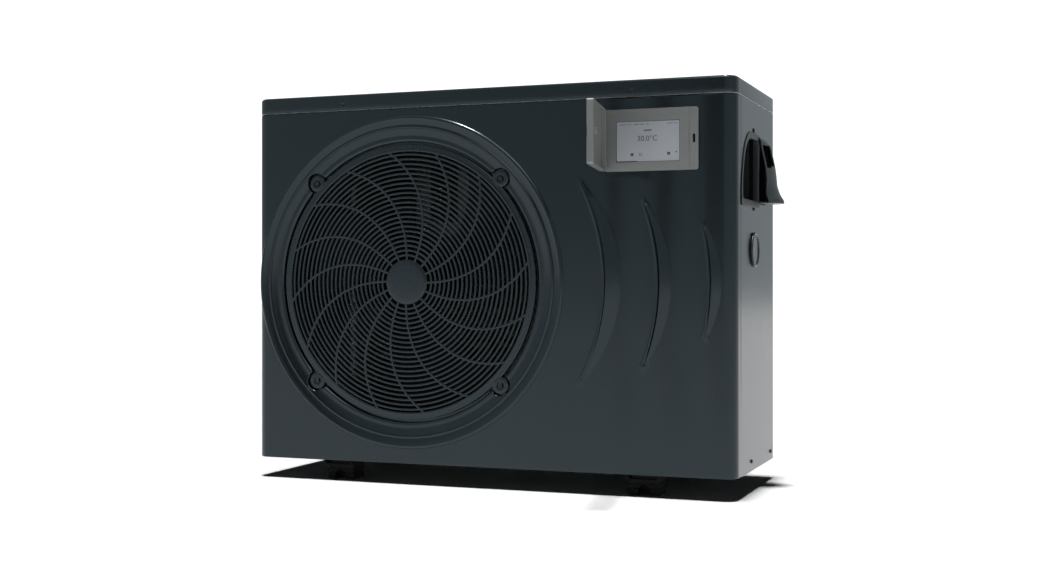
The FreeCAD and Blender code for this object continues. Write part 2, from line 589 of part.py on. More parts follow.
def make_fan():
    hub = revolve([(10, -30), (IMPELLER_HUB_R - 8, -30), (IMPELLER_HUB_R, -22), (IMPELLER_HUB_R, 30),
                   (IMPELLER_HUB_R - 3, 30), (IMPELLER_HUB_R - 3, -19), (IMPELLER_HUB_R - 9, -26), (10, -26)],
                  (FAN_X, 0, FAN_Z), AX_Y)
    hub.translate(Vec(0, BLADE_Y, 0))
    boss = tube((FAN_X, BLADE_Y - 30, FAN_Z), AX_Y, 14, SHAFT_R, 40)
    ribs = []
    for k in range(6):
        rib = box(12, IMPELLER_HUB_R - 1.5, -27, 6, -1.2, 1.2)
        rib.rotate(Vec(0, 0, 0), AX_Y, 60 * k)
        rib.translate(Vec(FAN_X, BLADE_Y, FAN_Z))
        ribs.append(rib)
    blades = []
    stations = ((IMPELLER_HUB_R - 4, 0, 92, 38, 8), (120, 6, 138, 31, 12), (185, 15, 176, 25, 13),
                (IMPELLER_R, 27, 196, 20, 11))
    for k in range(BLADES):
        turn = 360 / BLADES * k - 95
        wires = [blade_section(r, turn + a, chord, pitch, camber, 2.6)
                 for r, a, chord, pitch, camber in stations]
        blades.append(Part.makeLoft(wires, True, False))
    swept = tube((FAN_X, BLADE_Y - 60, FAN_Z), AX_Y, IMPELLER_R, IMPELLER_HUB_R - 2, 120)
    blades = [blade.common(swept) for blade in blades]
    save("fan_impeller", fuse([hub, boss] + ribs + blades))

    nut_y = BLADE_Y - 30
    shaft = rod((FAN_X, nut_y - 9, FAN_Z), AX_Y, SHAFT_R, MOTOR_Y + MOTOR_LEN + 6 - nut_y + 9)
    save("motor_shaft", shaft)
    nut = fuse([hex_prism((FAN_X, nut_y - 7, FAN_Z), 10, 7), rod((FAN_X, nut_y - 12, FAN_Z), AX_Y, 8, 5)])
    save("fan_nut", nut.cut(rod((FAN_X, nut_y - 9, FAN_Z), AX_Y, SHAFT_R, 20)))


def hex_prism(base, radius, length):
    pts = [(base[0] + radius * math.cos(math.radians(60 * k)), base[1],
            base[2] + radius * math.sin(math.radians(60 * k))) for k in range(6)]
    return polygon(pts).extrude(AX_Y * length)


def make_motor():
    y = MOTOR_Y
    end = y + MOTOR_LEN
    shell = [(16.2, y), (58, y), (62, y + 5), (62, end - 6), (56, end), (16.2, end), (16.2, end - 3),
             (54, end - 3), (59, end - 8), (59, y + 7), (56, y + 3), (16.2, y + 3)]
    can = revolve(shell, (FAN_X, 0, FAN_Z), AX_Y)
    seats = [tube((FAN_X, a, FAN_Z), AX_Y, 20, 16.2, 12) for a in (y + 1, end - 13)]
    lugs = [box(-74, -58, end - 10, end, -9, 9).cut(rod((-68, end - 20, 0), AX_Y, 3, 30)) for _ in range(4)]
    for k, lug in enumerate(lugs):
        lug.rotate(Vec(0, 0, 0), AX_Y, 45 + 90 * k)
        lug.translate(Vec(FAN_X, 0, FAN_Z))
    save("fan_motor", fuse([can] + seats + lugs))
    seats_y = (y + 2, end - 12)
    save("motor_bearings", [tube((FAN_X, a, FAN_Z), AX_Y, 16.0, SHAFT_R + 0.05, 10) for a in seats_y])

    plate_y = end + GAP
    straps = []
    for sx in (-1, 1):
        x = FAN_X + sx * 48
        strap = box(x - 17, x + 17, plate_y, plate_y + 2, FLOOR_IN, TOP - 8)
        web = box(x + sx * 17, x + sx * 15, plate_y, plate_y + 22, FLOOR_IN, TOP - 8)
        straps.append(fuse([strap, web]))
    ties = [box(FAN_X - 34, FAN_X + 34, plate_y, plate_y + 2, z - 14, z + 14)
            for z in (FAN_Z - 110, FAN_Z + 110)]
    bracket = fuse(straps + ties)
    holes = []
    screws = [machine_screw((x, GRILLE_Y, z), AX_Y) for x, z in ear_centres()]
    for k in range(4):
        a = math.radians(45 + 90 * k)
        x, z = FAN_X + 68 * math.cos(a), FAN_Z + 68 * math.sin(a)
        holes.append(rod((x, plate_y - 5, z), AX_Y, 3, 20))
        screws.append(machine_screw((x, plate_y + 2, z), AX_Y * -1))
    save("motor_bracket", bracket.cut(Part.makeCompound(holes)))
    save("machine_screws", screws)


# ---------------------------------------------------------------- evaporator coil
def coil_rows():
    return [COIL_Z0 + ROW_PITCH * k for k in range(TUBE_ROWS)]


def make_coil():
    half = FIN_DEPTH / 2
    cx, cy = COIL_X + COIL_BEND, COIL_Y - COIL_BEND

    def run(offset):
        r = COIL_BEND + offset
        k = r * math.sqrt(0.5)
        a, b = Vec(COIL_END_X - 2, cy + r, 0), Vec(cx, cy + r, 0)
        c, d = Vec(cx - r, cy, 0), Vec(cx - r, COIL_END_Y + 2, 0)
        return a, b, Vec(cx - k, cy + k, 0), c, d

    o, i = run(half), run(-half)
    edges = [Part.makeLine(o[0], o[1]), Part.Arc(o[1], o[2], o[3]).toShape(), Part.makeLine(o[3], o[4]),
             Part.makeLine(o[4], i[4]), Part.makeLine(i[4], i[3]), Part.Arc(i[3], i[2], i[1]).toShape(),
             Part.makeLine(i[1], i[0]), Part.makeLine(i[0], o[0])]
    block = prism(Part.Face(Part.Wire(edges)), COIL_Z0 - 13, COIL_Z0 + ROW_PITCH * TUBE_ROWS - 12)
    bores = []
    for z in coil_rows():
        corners = [(COIL_END_X + 5, COIL_Y, z), (COIL_X, COIL_Y, z), (COIL_X, COIL_END_Y - 5, z)]
        path = bent_path(corners, COIL_BEND)
        bores.append(sweep(path, TUBE_R))
    save("evaporator_fins", block.cut(Part.makeCompound(bores)))

    rows = coil_rows()
    bend = ROW_PITCH / 2
    hairpins = []
    for low, high in zip(rows[::2], rows[1::2]):
        tip = COIL_END_Y - 8 - bend
        edges = [Part.makeLine(Vec(COIL_END_X + 8, COIL_Y, low), Vec(cx, COIL_Y, low)),
                 Part.Arc(*(Vec(p.x, p.y, low) for p in run(0)[1:4])).toShape(),
                 Part.makeLine(Vec(COIL_X, cy, low), Vec(COIL_X, tip + bend, low)),
                 Part.Arc(Vec(COIL_X, tip + bend, low), Vec(COIL_X, tip, (low + high) / 2),
                          Vec(COIL_X, tip + bend, high)).toShape(),
                 Part.makeLine(Vec(COIL_X, tip + bend, high), Vec(COIL_X, cy, high)),
                 Part.Arc(*(Vec(p.x, p.y, high) for p in run(0)[3:0:-1])).toShape(),
                 Part.makeLine(Vec(cx, COIL_Y, high), Vec(COIL_END_X + 8, COIL_Y, high))]
        path = Part.Wire(edges)
        hairpins.append(sweep(path, TUBE_R).cut(sweep(path, TUBE_R - TUBE_WALL)))
    returns = []
    for low in rows[1:-1:2]:
        centre = Vec(COIL_END_X + 8, COIL_Y, low + bend)
        ring = Part.makeTorus(bend, TUBE_R, centre, AX_Y)
        ring = ring.cut(Part.makeTorus(bend, TUBE_R - TUBE_WALL, centre, AX_Y))
        returns.append(ring.common(box(COIL_END_X + 8, COIL_END_X + 60, 0, BACK, 0, TOP)))
    save("evaporator_tubes", hairpins + returns)

    z0, z1 = rows[0] - 15, rows[-1] + 15
    right_plate = box(COIL_END_X, COIL_END_X + 1.5, COIL_Y - 20, COIL_Y + 20, z0, z1)
    left_plate = box(COIL_X - 20, COIL_X + 20, COIL_END_Y - 1.5, COIL_END_Y, z0, z1)
    for z in rows:
        right_plate = right_plate.cut(rod((COIL_END_X - 5, COIL_Y, z), AX_X, TUBE_R + GAP, 12))
        left_plate = left_plate.cut(rod((COIL_X, COIL_END_Y - 6, z), AX_Y, TUBE_R + GAP, 12))
    save("coil_end_plates", [right_plate, left_plate])


# ---------------------------------------------------------------- refrigeration circuit
COMP_Z0, COMP_Z1 = FLOOR_IN + 18, 350.0
ACC_X, ACC_Y, ACC_R = 316.0, 142.0, 30.0


def make_compressor():
    profile = [(0.0, COMP_Z0), (COMP_R - 14, COMP_Z0), (COMP_R, COMP_Z0 + 14), (COMP_R, COMP_Z1 - 24),
               (COMP_R - 22, COMP_Z1 - 4), (0.0, COMP_Z1)]
    shell = revolve(profile, (COMP_X, COMP_Y, 0), AX_Z)
    plate_z = COMP_Z0 + 6
    feet = []
    for x, y in compressor_feet():
        arm = rod((x, y, plate_z), AX_Z, 12.5, 4)
        link = Part.makeLoft([Part.makePolygon(p + [p[0]]) for p in arm_sections(x, y, plate_z)], True, True)
        feet.append(fuse([arm, link]).cut(rod((x, y, plate_z - 1), AX_Z, 9, 6)))
    stub = rod((COMP_X, COMP_Y - 30, COMP_Z1 - 30), AX_Z, TUBE_R + 1.2, 50)
    save("compressor", fuse([shell, stub] + feet))

    grommets, studs = [], []
    for x, y in compressor_feet():
        rubber = fuse([rod((x, y, FLOOR_IN), AX_Z, 12.5, COMP_Z0 + 6 - FLOOR_IN),
                       rod((x, y, plate_z), AX_Z, 9, 4), rod((x, y, plate_z + 4), AX_Z, 12, 5)])
        grommets.append(rubber.cut(rod((x, y, FLOOR_IN - 1), AX_Z, 4.2, 60)))
        stud = fuse([rod((x, y, PAN_Z - 6), AX_Z, 4, 50), rod((x, y, PAN_Z - 6), AX_Z, 7, 5)])
        nut = rod((x, y, plate_z + 9), AX_Z, 8, 7)
        studs.append(fuse([stud, nut]))
    save("compressor_grommets", grommets)
    save("compressor_studs", studs)

    cap_y = COMP_Y - COMP_R
    cap = box(COMP_X - 22, COMP_X + 22, cap_y - 14, cap_y + 20, 250, 300)
    save("terminal_cap", cap.cut(rod((COMP_X, COMP_Y, 200), AX_Z, COMP_R + GAP, 200)))

    ends = [(0.0, 90.0), (ACC_R - 10, 90.0), (ACC_R, 102.0),
            (ACC_R, 268.0), (ACC_R - 10, 280.0), (0.0, 280.0)]
    save("accumulator", revolve(ends, (ACC_X, ACC_Y, 0), AX_Z))


def arm_sections(x, y, z):
    """Two upright rectangles: one inside the compressor shell, one at the foot."""
    out = Vec(x - COMP_X, y - COMP_Y, 0).normalize()
    side = Vec(-out.y, out.x, 0)
    sections = []
    for reach, half in ((COMP_R - 6, 22), (COMP_FOOT_R, 12)):
        middle = Vec(COMP_X, COMP_Y, z) + out * reach
        sections.append([middle - side * half, middle + side * half, middle + side * half + AX_Z * 4,
                         middle - side * half + AX_Z * 4])
    return sections


def make_circuit():
    valve_z = 470.0
    body = fuse([rod((COMP_X - 55, COMP_Y, valve_z), AX_X, 15, 110),
                 rod((COMP_X, COMP_Y, valve_z), AX_Z, 7, 26),
                 rod((COMP_X - 28, COMP_Y, valve_z - 26), AX_Z, 7, 26),
                 rod((COMP_X, COMP_Y, valve_z - 26), AX_Z, 7, 26),
                 rod((COMP_X + 28, COMP_Y, valve_z - 26), AX_Z, 7, 26)])
    solenoid = box(COMP_X - 16, COMP_X + 16, COMP_Y + 15.5, COMP_Y + 40, valve_z - 16, valve_z + 16)
    save("four_way_valve", [body, solenoid])

    ev_x, ev_y, ev_z = 200.0, -90.0, 250.0
    ev = fuse([rod((ev_x, ev_y, ev_z), AX_Z, 11, 40), rod((ev_x, ev_y, ev_z + 40), AX_Z, 22, 26),
               rod((ev_x, ev_y, ev_z + 66), AX_Z, 10, 16)])
    save("expansion_valve", ev)
    fd_z = 150.0
    drier = revolve([(0.0, fd_z - 45), (8, fd_z - 45), (20, fd_z - 34), (20, fd_z + 34), (8, fd_z + 45),
                     (0.0, fd_z + 45)], (ev_x, ev_y, 0), AX_Z)
    save("filter_drier", drier)

    r, w = TUBE_R + 1.5, 0.8
    discharge = hollow_pipe([(COMP_X, COMP_Y - 30, COMP_Z1 + 20), (COMP_X, COMP_Y - 30, 518),
                             (COMP_X, COMP_Y, 518), (COMP_X, COMP_Y, valve_z + 26)], r, w, 14)
    suction = hollow_pipe([(COMP_X, COMP_Y, valve_z - 26), (COMP_X, COMP_Y, 410), (ACC_X, ACC_Y, 410),
                           (ACC_X, ACC_Y, 280)], r, w, 18)
    to_coil = hollow_pipe([(COMP_X - 28, COMP_Y, valve_z - 26), (COMP_X - 28, COMP_Y, 400),
                           (COMP_X - 28, COIL_Y, 400), (COMP_X - 28, COIL_Y, coil_rows()[-1]),
                           (COIL_END_X + 8, COIL_Y, coil_rows()[-1])], TUBE_R, TUBE_WALL, 14)
    to_condenser = hollow_pipe([(COMP_X + 28, COMP_Y, valve_z - 26), (COMP_X + 28, COMP_Y, 420),
                                (HX_X - 50, COMP_Y, 420), (HX_X - 50, COMP_Y, 505), (HX_X - 20, HX_Y, 505),
                                (HX_X - 20, HX_Y, HX_Z1)], r, w, 10)
    liquid_in = hollow_pipe([(HX_X - HX_R, HX_Y, 100), (HX_X - HX_R - 40, HX_Y, 100), (ev_x, ev_y, 70),
                             (ev_x, ev_y, fd_z - 45)], TUBE_R, TUBE_WALL, 12)
    middle = tube((ev_x, ev_y, fd_z + 45), AX_Z, TUBE_R, TUBE_R - TUBE_WALL, ev_z - fd_z - 45)
    liquid_out = hollow_pipe([(ev_x, ev_y, ev_z + 82), (ev_x, ev_y, 370), (ev_x - 30, ev_y, 370),
                              (ev_x - 30, COIL_Y - 3, 370), (ev_x - 22, COIL_Y, 350),
                              (ev_x - 22, COIL_Y, COIL_Z0), (COIL_END_X + 8, COIL_Y, COIL_Z0)],
                             TUBE_R, TUBE_WALL, 6)
    save("refrigerant_pipes", [discharge, suction, to_coil, to_condenser, liquid_in, middle, liquid_out])


HX_Z0, HX_Z1 = 62.0, 470.0


def make_condenser():
    shell = revolve([(0.0, HX_Z0), (HX_R - 10, HX_Z0), (HX_R, HX_Z0 + 10), (HX_R, HX_Z1 - 10),
                     (HX_R - 10, HX_Z1), (0.0, HX_Z1)], (HX_X, HX_Y, 0), AX_Z)
    inside = revolve([(0.0, HX_Z0 + 5), (HX_R - 12, HX_Z0 + 5), (HX_R - 5, HX_Z0 + 12),
                      (HX_R - 5, HX_Z1 - 12), (HX_R - 12, HX_Z1 - 5), (0.0, HX_Z1 - 5)],
                     (HX_X, HX_Y, 0), AX_Z)
    ports = [rod((HX_X, HX_Y, z), AX_Y, PIPE_R - PIPE_WALL, 100) for z in UNION_Z]
    save("condenser_shell", shell.cut(inside).cut(Part.makeCompound(ports)))

    rings = [Part.makeTorus(52, 6, Vec(HX_X, HX_Y, HX_Z0 + 40 + 18 * k), AX_Z) for k in range(18)]
    header = rod((HX_X - 52, HX_Y, HX_Z0 + 34), AX_Z, 5, 318)
    save("condenser_coil", fuse([header] + rings))

    straps = []
    for z in (220.0, 330.0):
        band = tube((HX_X, HX_Y, z), AX_Z, HX_R + GAP + 2, HX_R + GAP, 20)
        straps.append(band)
    stand = tube((HX_X, HX_Y, FLOOR_IN), AX_Z, HX_R - 12, HX_R - 16, HX_Z0 - FLOOR_IN)
    save("condenser_straps", straps + [stand])

    pipes = []
    for z in UNION_Z:
        reach = BACK + 35 - (HX_Y + HX_R - 3)
        pipe = rod((HX_X, HX_Y + HX_R - 3, z), AX_Y, PIPE_R, reach)
        neck = rod((HX_X, BACK + 5, z), AX_Y, 32, 30)
        pipe = fuse([pipe, neck]).cut(rod((HX_X, 0, z), AX_Y, PIPE_R - PIPE_WALL, 300))
        groove = tube((HX_X, BACK + 32.5, z), AX_Y, 30.2, 26.2, 4)
        pipe = pipe.cut(groove).cut(rod((HX_X, HX_Y, HX_Z0), AX_Z, HX_R, HX_Z1))
        pipes.append(pipe)
    save("water_pipes", pipes)


def make_unions():
    seal_y = BACK + 34
    seals = []
    for z in UNION_Z:
        seals.append(tube((HX_X, seal_y - 1.5, z), AX_Y, 30.0, 26.4, 2.8))
    save("union_seals", seals)
    tails = []
    for z in UNION_Z:
        flange = rod((HX_X, BACK + 35.4, z), AX_Y, 31.5, 5.6)
        sleeve = rod((HX_X, BACK + 35.4, z), AX_Y, 28.5, 46)
        bore = rod((HX_X, BACK + 50, z), AX_Y, SOCKET_R, 60)
        stop = rod((HX_X, BACK + 30, z), AX_Y, PIPE_R - PIPE_WALL, 60)
        tails.append(fuse([flange, sleeve]).cut(fuse([bore, stop])))
    save("union_tails", tails)
    for name, z in zip(("inlet_union_nut", "outlet_union_nut"), UNION_Z):
        profile = [(32.4, BACK + 12), (40, BACK + 12), (41, BACK + 14), (41, BACK + 50), (39, BACK + 52),
                   (29.0, BACK + 52), (29.0, BACK + 41.4), (32.4, BACK + 41.4)]
        nut = revolve(profile, (HX_X, 0, z), AX_Y)
        grips = []
        for k in range(12):
            rib = box(39, 43.5, BACK + 16, BACK + 48, -3, 3)
            rib.rotate(Vec(0, 0, 0), AX_Y, 30 * k)
            rib.translate(Vec(HX_X, 0, z))
            grips.append(rib)
        save(name, fuse([nut] + grips))
    block = box(HX_X - 18, HX_X + 18, 70, 120, UNION_Z[1] + PIPE_R - 4, UNION_Z[1] + 62)
    save("flow_switch", block.cut(rod((HX_X, 0, UNION_Z[1]), AX_Y, PIPE_R + GAP, 200)))


# ---------------------------------------------------------------- electrical parts
SHELF_Z = 530.0
EBOX = (154.0, 446.0, -128.0, 62.0, 576.0, 732.0)


def make_electrics():
    x0, x1, y0, y1, z0, z1 = EBOX
    tub = box(x0, x1, y0, y1, z0, z1).cut(box(x0 + 1.5, x1 - 1.5, y0 + 1.5, y1 - 1.5, z0 + 1.5, z1 + 1))
    window = box(x0 - 5, x0 + 5, -54, 54, 616, 708)
    entry = rod((x1 - 40, y1 - 5, z0 + 30), AX_Y, 12, 10)
    hanger = box(230, x1, y1 - 1.5, y1, SHELF_Z, z0 + 10)
    shelf = box(230, x1, y1 - 1.5, y1 + 90, SHELF_Z - 1.5, SHELF_Z)
    save("electrical_box", fuse([tub, hanger, shelf]).cut(fuse([window, entry])))
    lid = box(x0 - 2, x1 + 2, y0 - 2, y1 + 2, z1 - 10, z1 + 1.5)
    inside = box(x0 - GAP, x1 + GAP, y0 - GAP, y1 + GAP, z1 - 11, z1 + 0.01)
    save("electrical_box_lid", lid.cut(inside))

    board = box(x0 + 30, x1 - 20, y0 + 20, y1 - 15, z0 + 12, z0 + 13.6)
    parts = [board]
    for i in range(3):
        parts.append(rod((x0 + 170 + 34 * i, y0 + 60, z0 + 13.6), AX_Z, 15, 46))
    parts.append(box(x0 + 50, x0 + 110, y0 + 40, y0 + 100, z0 + 13.6, z0 + 24))
    parts.append(box(x0 + 60, x0 + 120, y1 - 60, y1 - 30, z0 + 13.6, z0 + 40))
    save("inverter_board", fuse(parts))
    plate = box(x0 - 18, x0 + 6, -50, 50, 620, 704)
    fins = [box(x0 - 64, x0 - 18, -50 + 9.8 * k, -48 + 9.8 * k, 620, 704) for k in range(11)]
    save("heatsink", fuse([plate] + fins))
    rx, ry = 410.0, 110.0
    core = box(rx - 32, rx + 32, ry - 24, ry + 24, SHELF_Z, SHELF_Z + 60)
    for side in (-20, 8):
        core = core.cut(box(rx + side, rx + side + 12, ry - 25, ry + 25, SHELF_Z + 12, SHELF_Z + 48))
    save("reactor", core)
    tx, ty, tz = 300.0, 100.0, SHELF_Z
    block = box(tx - 55, tx + 55, ty, ty + 34, tz, tz + 26)
    cuts = [rod((tx - 44 + 22 * k, ty + 17, tz + 14), AX_Z, 5, 20) for k in range(5)]
    save("terminal_block", block.cut(Part.makeCompound(cuts)))
    glands = []
    for x, z in GLANDS:
        body = fuse([rod((x, BACK - 14, z), AX_Y, 10, 34), hex_prism((x, BACK, z), 14, 6),
                     rod((x, BACK + 6, z), AX_Y, 12.5, 16), hex_prism((x, BACK - 7, z), 14, 5.5)])
        glands.append(body.cut(rod((x, BACK - 20, z), AX_Y, 6.0, 60)))
    save("cable_glands", glands)


# ---------------------------------------------------------------- controller
HINGE_X = CTRL_X - CTRL_W / 2 + 1.0
BEZEL_Y = FRONT - CTRL_PROUD
HINGE_Y = BEZEL_Y - 0.5 - COVER_T / 2
KNUCKLE_Z = 10.0
LATCH_X, LATCH_W, LATCH_H = 423.2, 5.0, 16.0


def rounded_plate(x0, x1, z0, z1, y0, y1, radius):
    solid = box(x0, x1, y0, y1, z0, z1)
    edges = [e for e in solid.Edges if abs(e.Vertexes[0].X - e.Vertexes[1].X) < 1e-6
             and abs(e.Vertexes[0].Z - e.Vertexes[1].Z) < 1e-6]
    return solid.makeFillet(radius, edges)


def make_controller():
    x0, x1 = CTRL_X - CTRL_W / 2, CTRL_X + CTRL_W / 2
    z0, z1 = CTRL_Z - CTRL_H / 2, CTRL_Z + CTRL_H / 2
    bezel = rounded_plate(x0, x1, z0, z1, BEZEL_Y, FRONT, 5)
    tub = rounded_plate(x0 + 6, x1 - 6, z0 + 6, z1 - 6, FRONT, FRONT + 28, 4)
    screen = (SCREEN_X - SCREEN_W / 2, SCREEN_X + SCREEN_W / 2,
              SCREEN_Z - SCREEN_H / 2, SCREEN_Z + SCREEN_H / 2)
    window = box(screen[0], screen[1], BEZEL_Y - 1, BEZEL_Y + 6, screen[2], screen[3])
    cavity = box(x0 + 9, x1 - 9, BEZEL_Y + 4, FRONT + 26, z0 + 9, z1 - 9)
    catch = box(LATCH_X - LATCH_W / 2, LATCH_X + LATCH_W / 2, BEZEL_Y - 1, BEZEL_Y + 12,
                CTRL_Z - LATCH_H / 2, CTRL_Z + LATCH_H / 2)
    bar = box(CTRL_X + CTRL_W / 2 - 17, CTRL_X + CTRL_W / 2 - 15, BEZEL_Y - 1, BEZEL_Y + 0.8, z0 + 3, z1 - 3)
    latch_wall = box(x1 - 22, x1 - 9, BEZEL_Y + 3, FRONT + 12, CTRL_Z - 14, CTRL_Z + 14)
    lugs = []
    for a in (z0 + 1, z1 - 1 - KNUCKLE_Z):
        arm = box(HINGE_X - 5, HINGE_X + 5, HINGE_Y, BEZEL_Y, a, a + KNUCKLE_Z)
        lugs.append(fuse([arm, rod((HINGE_X, HINGE_Y, a), AX_Z, 5, KNUCKLE_Z)]))
    body = fuse([bezel, tub]).cut(Part.makeCompound([window])).cut(cavity)
    body = fuse([body, latch_wall] + lugs).cut(Part.makeCompound([catch, bar]))
    body = body.cut(rod((HINGE_X, HINGE_Y, z0 - 5), AX_Z, PIN_R, CTRL_H + 10))
    save("controller_housing", body)
    save("cover_hinge_pin", rod((HINGE_X, HINGE_Y, z0 + 1), AX_Z, PIN_R, CTRL_H - 2))

    glass = box(screen[0] - 4, screen[1] + 4, BEZEL_Y + 4.2, BEZEL_Y + 7, screen[2] - 4, screen[3] + 4)
    raised = box(screen[0] + 0.4, screen[1] - 0.4, BEZEL_Y + 1.6, BEZEL_Y + 5,
                 screen[2] + 0.4, screen[3] - 0.4)
    save("controller_screen", fuse([glass, raised]))
    pcb = [box(x0 + 14, x1 - 26, FRONT + 8, FRONT + 9.6, z0 + 14, z1 - 14),
           box(x0 + 40, x0 + 70, FRONT + 9.6, FRONT + 13, z0 + 30, z0 + 60)]
    save("controller_board", fuse(pcb))
    save("controller_cover", open_cover(x0, x1, z0, z1))


def open_cover(x0, x1, z0, z1):
    """Shallow tray lid, drawn closed over the bezel and then swung open about the pin."""
    y1 = BEZEL_Y - 0.5
    y0 = y1 - COVER_T
    plate = rounded_plate(HINGE_X, x1, z0, z1, y0, y1, 5)
    hollow = rounded_plate(HINGE_X + 9, x1 - 3, z0 + 3, z1 - 3, y0 + 3, y1 + 1, 3)
    reliefs = [box(HINGE_X - 12, HINGE_X + 8, y0 - 1, y1 + 1, a - 1, b) for a, b in
               ((z0, z0 + 1.5 + KNUCKLE_Z), (z1 - KNUCKLE_Z - 0.5, z1 + 1))]
    barrel = rod((HINGE_X, HINGE_Y, z0 + 1.5 + KNUCKLE_Z), AX_Z, COVER_T / 2, CTRL_H - 2 * KNUCKLE_Z - 3)
    tab = box(LATCH_X - 1.5, LATCH_X + 1.5, y0 + 2, y1 + 6, CTRL_Z - 6, CTRL_Z + 6)
    pull = box(x1 - 4, x1 + 1, y0 - 1, y0 + 1.2, CTRL_Z - 9, CTRL_Z + 9)
    cover = fuse([plate.cut(hollow).cut(Part.makeCompound(reliefs)), barrel, tab]).cut(pull)
    cover = cover.cut(rod((HINGE_X, HINGE_Y, z0 - 5), AX_Z, PIN_R + 0.05, CTRL_H + 10))
    cover.rotate(Vec(HINGE_X, HINGE_Y, 0), AX_Z, -COVER_OPEN)
    return cover


# ---------------------------------------------------------------- gauge and side handle
def make_gauge():
    x = RIGHT
    case = revolve([(0.0, x - 28), (29.8, x - 28), (29.8, x + GAP), (GAUGE_R, x + GAP), (GAUGE_R, x + 4),
                    (GAUGE_R - 1.5, x + 5.5), (29.0, x + 5.5), (28.0, x + 4.0), (28.0, x - 6), (0.0, x - 6)],
                   (0, GAUGE_Y, GAUGE_Z), AX_X)
    socket = rod((x - 40, GAUGE_Y, GAUGE_Z), AX_X, 4, 13)
    post = rod((x - 7, GAUGE_Y, GAUGE_Z), AX_X, 1.0, 6.8)
    save("gauge_case", fuse([case, socket, post]))
    save("gauge_dial", tube((x - 5.7, GAUGE_Y, GAUGE_Z), AX_X, 27.7, 1.4, 1.0))
    save("gauge_lens", rod((x + 1.4, GAUGE_Y, GAUGE_Z), AX_X, 27.7, 2.0))
    blade = polygon([(0, -2.2, -8), (0, 2.2, -8), (0, 0.5, 21), (0, -0.5, 21)]).extrude(AX_X * 0.8)
    needle = fuse([blade, rod((0, 0, 0), AX_X, 3.5, 2.0)]).cut(rod((-1, 0, 0), AX_X, 1.05, 5))
    needle.rotate(Vec(0, 0, 0), AX_X, 30)
    needle.translate(Vec(x - 3.2, GAUGE_Y, GAUGE_Z))
    save("gauge_pointer", needle)


HOOD_Y0, HOOD_Y1 = 18.0, 92.0
HOOD_WALL = 3.0


def hood_outline(inset):
    """Side silhouette of the hood as (x beyond the side, z): narrow at the top, flared at its foot."""
    pts = [(GAP, 682), (8, 680), (20, 668), (27, 640), (31, 605), (32, 590), (40, 570), (46, 562), (46, 553),
           (GAP, 553)]
    if not inset:
        return pts
    return [(x - inset if x > 1 else -10, z - inset if z > 600 else z + inset) for x, z in pts]


def hood_solid(inset, y0, y1, taper):
    full = [Vec(RIGHT + x, y0, z) for x, z in hood_outline(inset)]
    wires = [Part.makePolygon(full + [full[0]])]
    for y, share in ((y1 - taper, 1.0), (y1, 0.45)):
        root = full[0].x
        ring = [Vec(root + (p.x - root) * share, y, p.z) for p in full]
        wires.append(Part.makePolygon(ring + [ring[0]]))
    return Part.makeLoft(wires, True, True)


def make_handle():
    x_in = RIGHT - 38
    flange = bell(5, RIGHT + GAP, RIGHT + 3).cut(bell(0, RIGHT - 1, RIGHT + 5))
    walls = bell(0, x_in, RIGHT + 3).cut(bell(-2.5, x_in + 2.5, RIGHT + 5))
    spine = side_slot(RIGHT - 9, RIGHT - 6, -GAP)
    hood = hood_solid(0.0, HOOD_Y0, HOOD_Y1, 26)
    hood = hood.cut(hood_solid(HOOD_WALL, HOOD_Y0 + HOOD_WALL, HOOD_Y1 - 4, 24))
    window = box(RIGHT + 6, RIGHT + 60, HOOD_Y0 + 14, HOOD_Y0 + 44, 618, 660)
    pocket_clear = bell(-2.5, x_in + 2.5, RIGHT + 60).cut(box(0, 600, HOOD_Y0, 200, 0, TOP))
    body = fuse([walls, flange, hood]).cut(fuse([window, pocket_clear]))
    body = fuse([body, spine.cut(bell(-1, x_in, RIGHT + 5))])
    save("handle_insert", body)


# ---------------------------------------------------------------- whole unit
def main():
    os.makedirs("parts", exist_ok=True)
    for step in (make_base, make_front_panel, make_top_cover, make_side_panels, make_rear, make_structure,
                 make_grille, make_fan, make_motor, make_coil, make_compressor, make_circuit, make_condenser,
                 make_unions, make_electrics, make_controller, make_gauge, make_handle):
        step()
        print("made", step.__name__)


main()
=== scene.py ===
"""Looks of the pool heat pump unit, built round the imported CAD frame.
Metres, +X right seen from the front, +Y to the back, +Z up.  Profiles are written in millimetres."""
import json
import math

import bmesh
import bpy
import numpy as np
from mathutils import Matrix, Vector
from mathutils.geometry import delaunay_2d_cdt


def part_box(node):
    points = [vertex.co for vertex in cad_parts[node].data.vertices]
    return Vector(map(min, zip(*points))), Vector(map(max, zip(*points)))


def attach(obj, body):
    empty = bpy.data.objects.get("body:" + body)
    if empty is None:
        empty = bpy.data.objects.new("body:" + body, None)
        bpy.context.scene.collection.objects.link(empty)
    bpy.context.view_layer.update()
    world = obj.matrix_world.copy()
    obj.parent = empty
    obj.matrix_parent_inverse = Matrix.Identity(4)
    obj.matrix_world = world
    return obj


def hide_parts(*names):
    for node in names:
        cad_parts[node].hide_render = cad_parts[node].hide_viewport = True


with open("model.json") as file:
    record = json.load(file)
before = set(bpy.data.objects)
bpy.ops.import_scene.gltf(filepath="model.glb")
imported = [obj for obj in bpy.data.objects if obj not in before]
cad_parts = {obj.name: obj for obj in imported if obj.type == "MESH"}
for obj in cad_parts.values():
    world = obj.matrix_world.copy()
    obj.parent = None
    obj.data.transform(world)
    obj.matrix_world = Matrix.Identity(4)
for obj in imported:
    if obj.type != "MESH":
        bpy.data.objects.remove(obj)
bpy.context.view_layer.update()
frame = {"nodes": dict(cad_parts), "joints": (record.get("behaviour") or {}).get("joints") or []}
NODES = frame["nodes"]
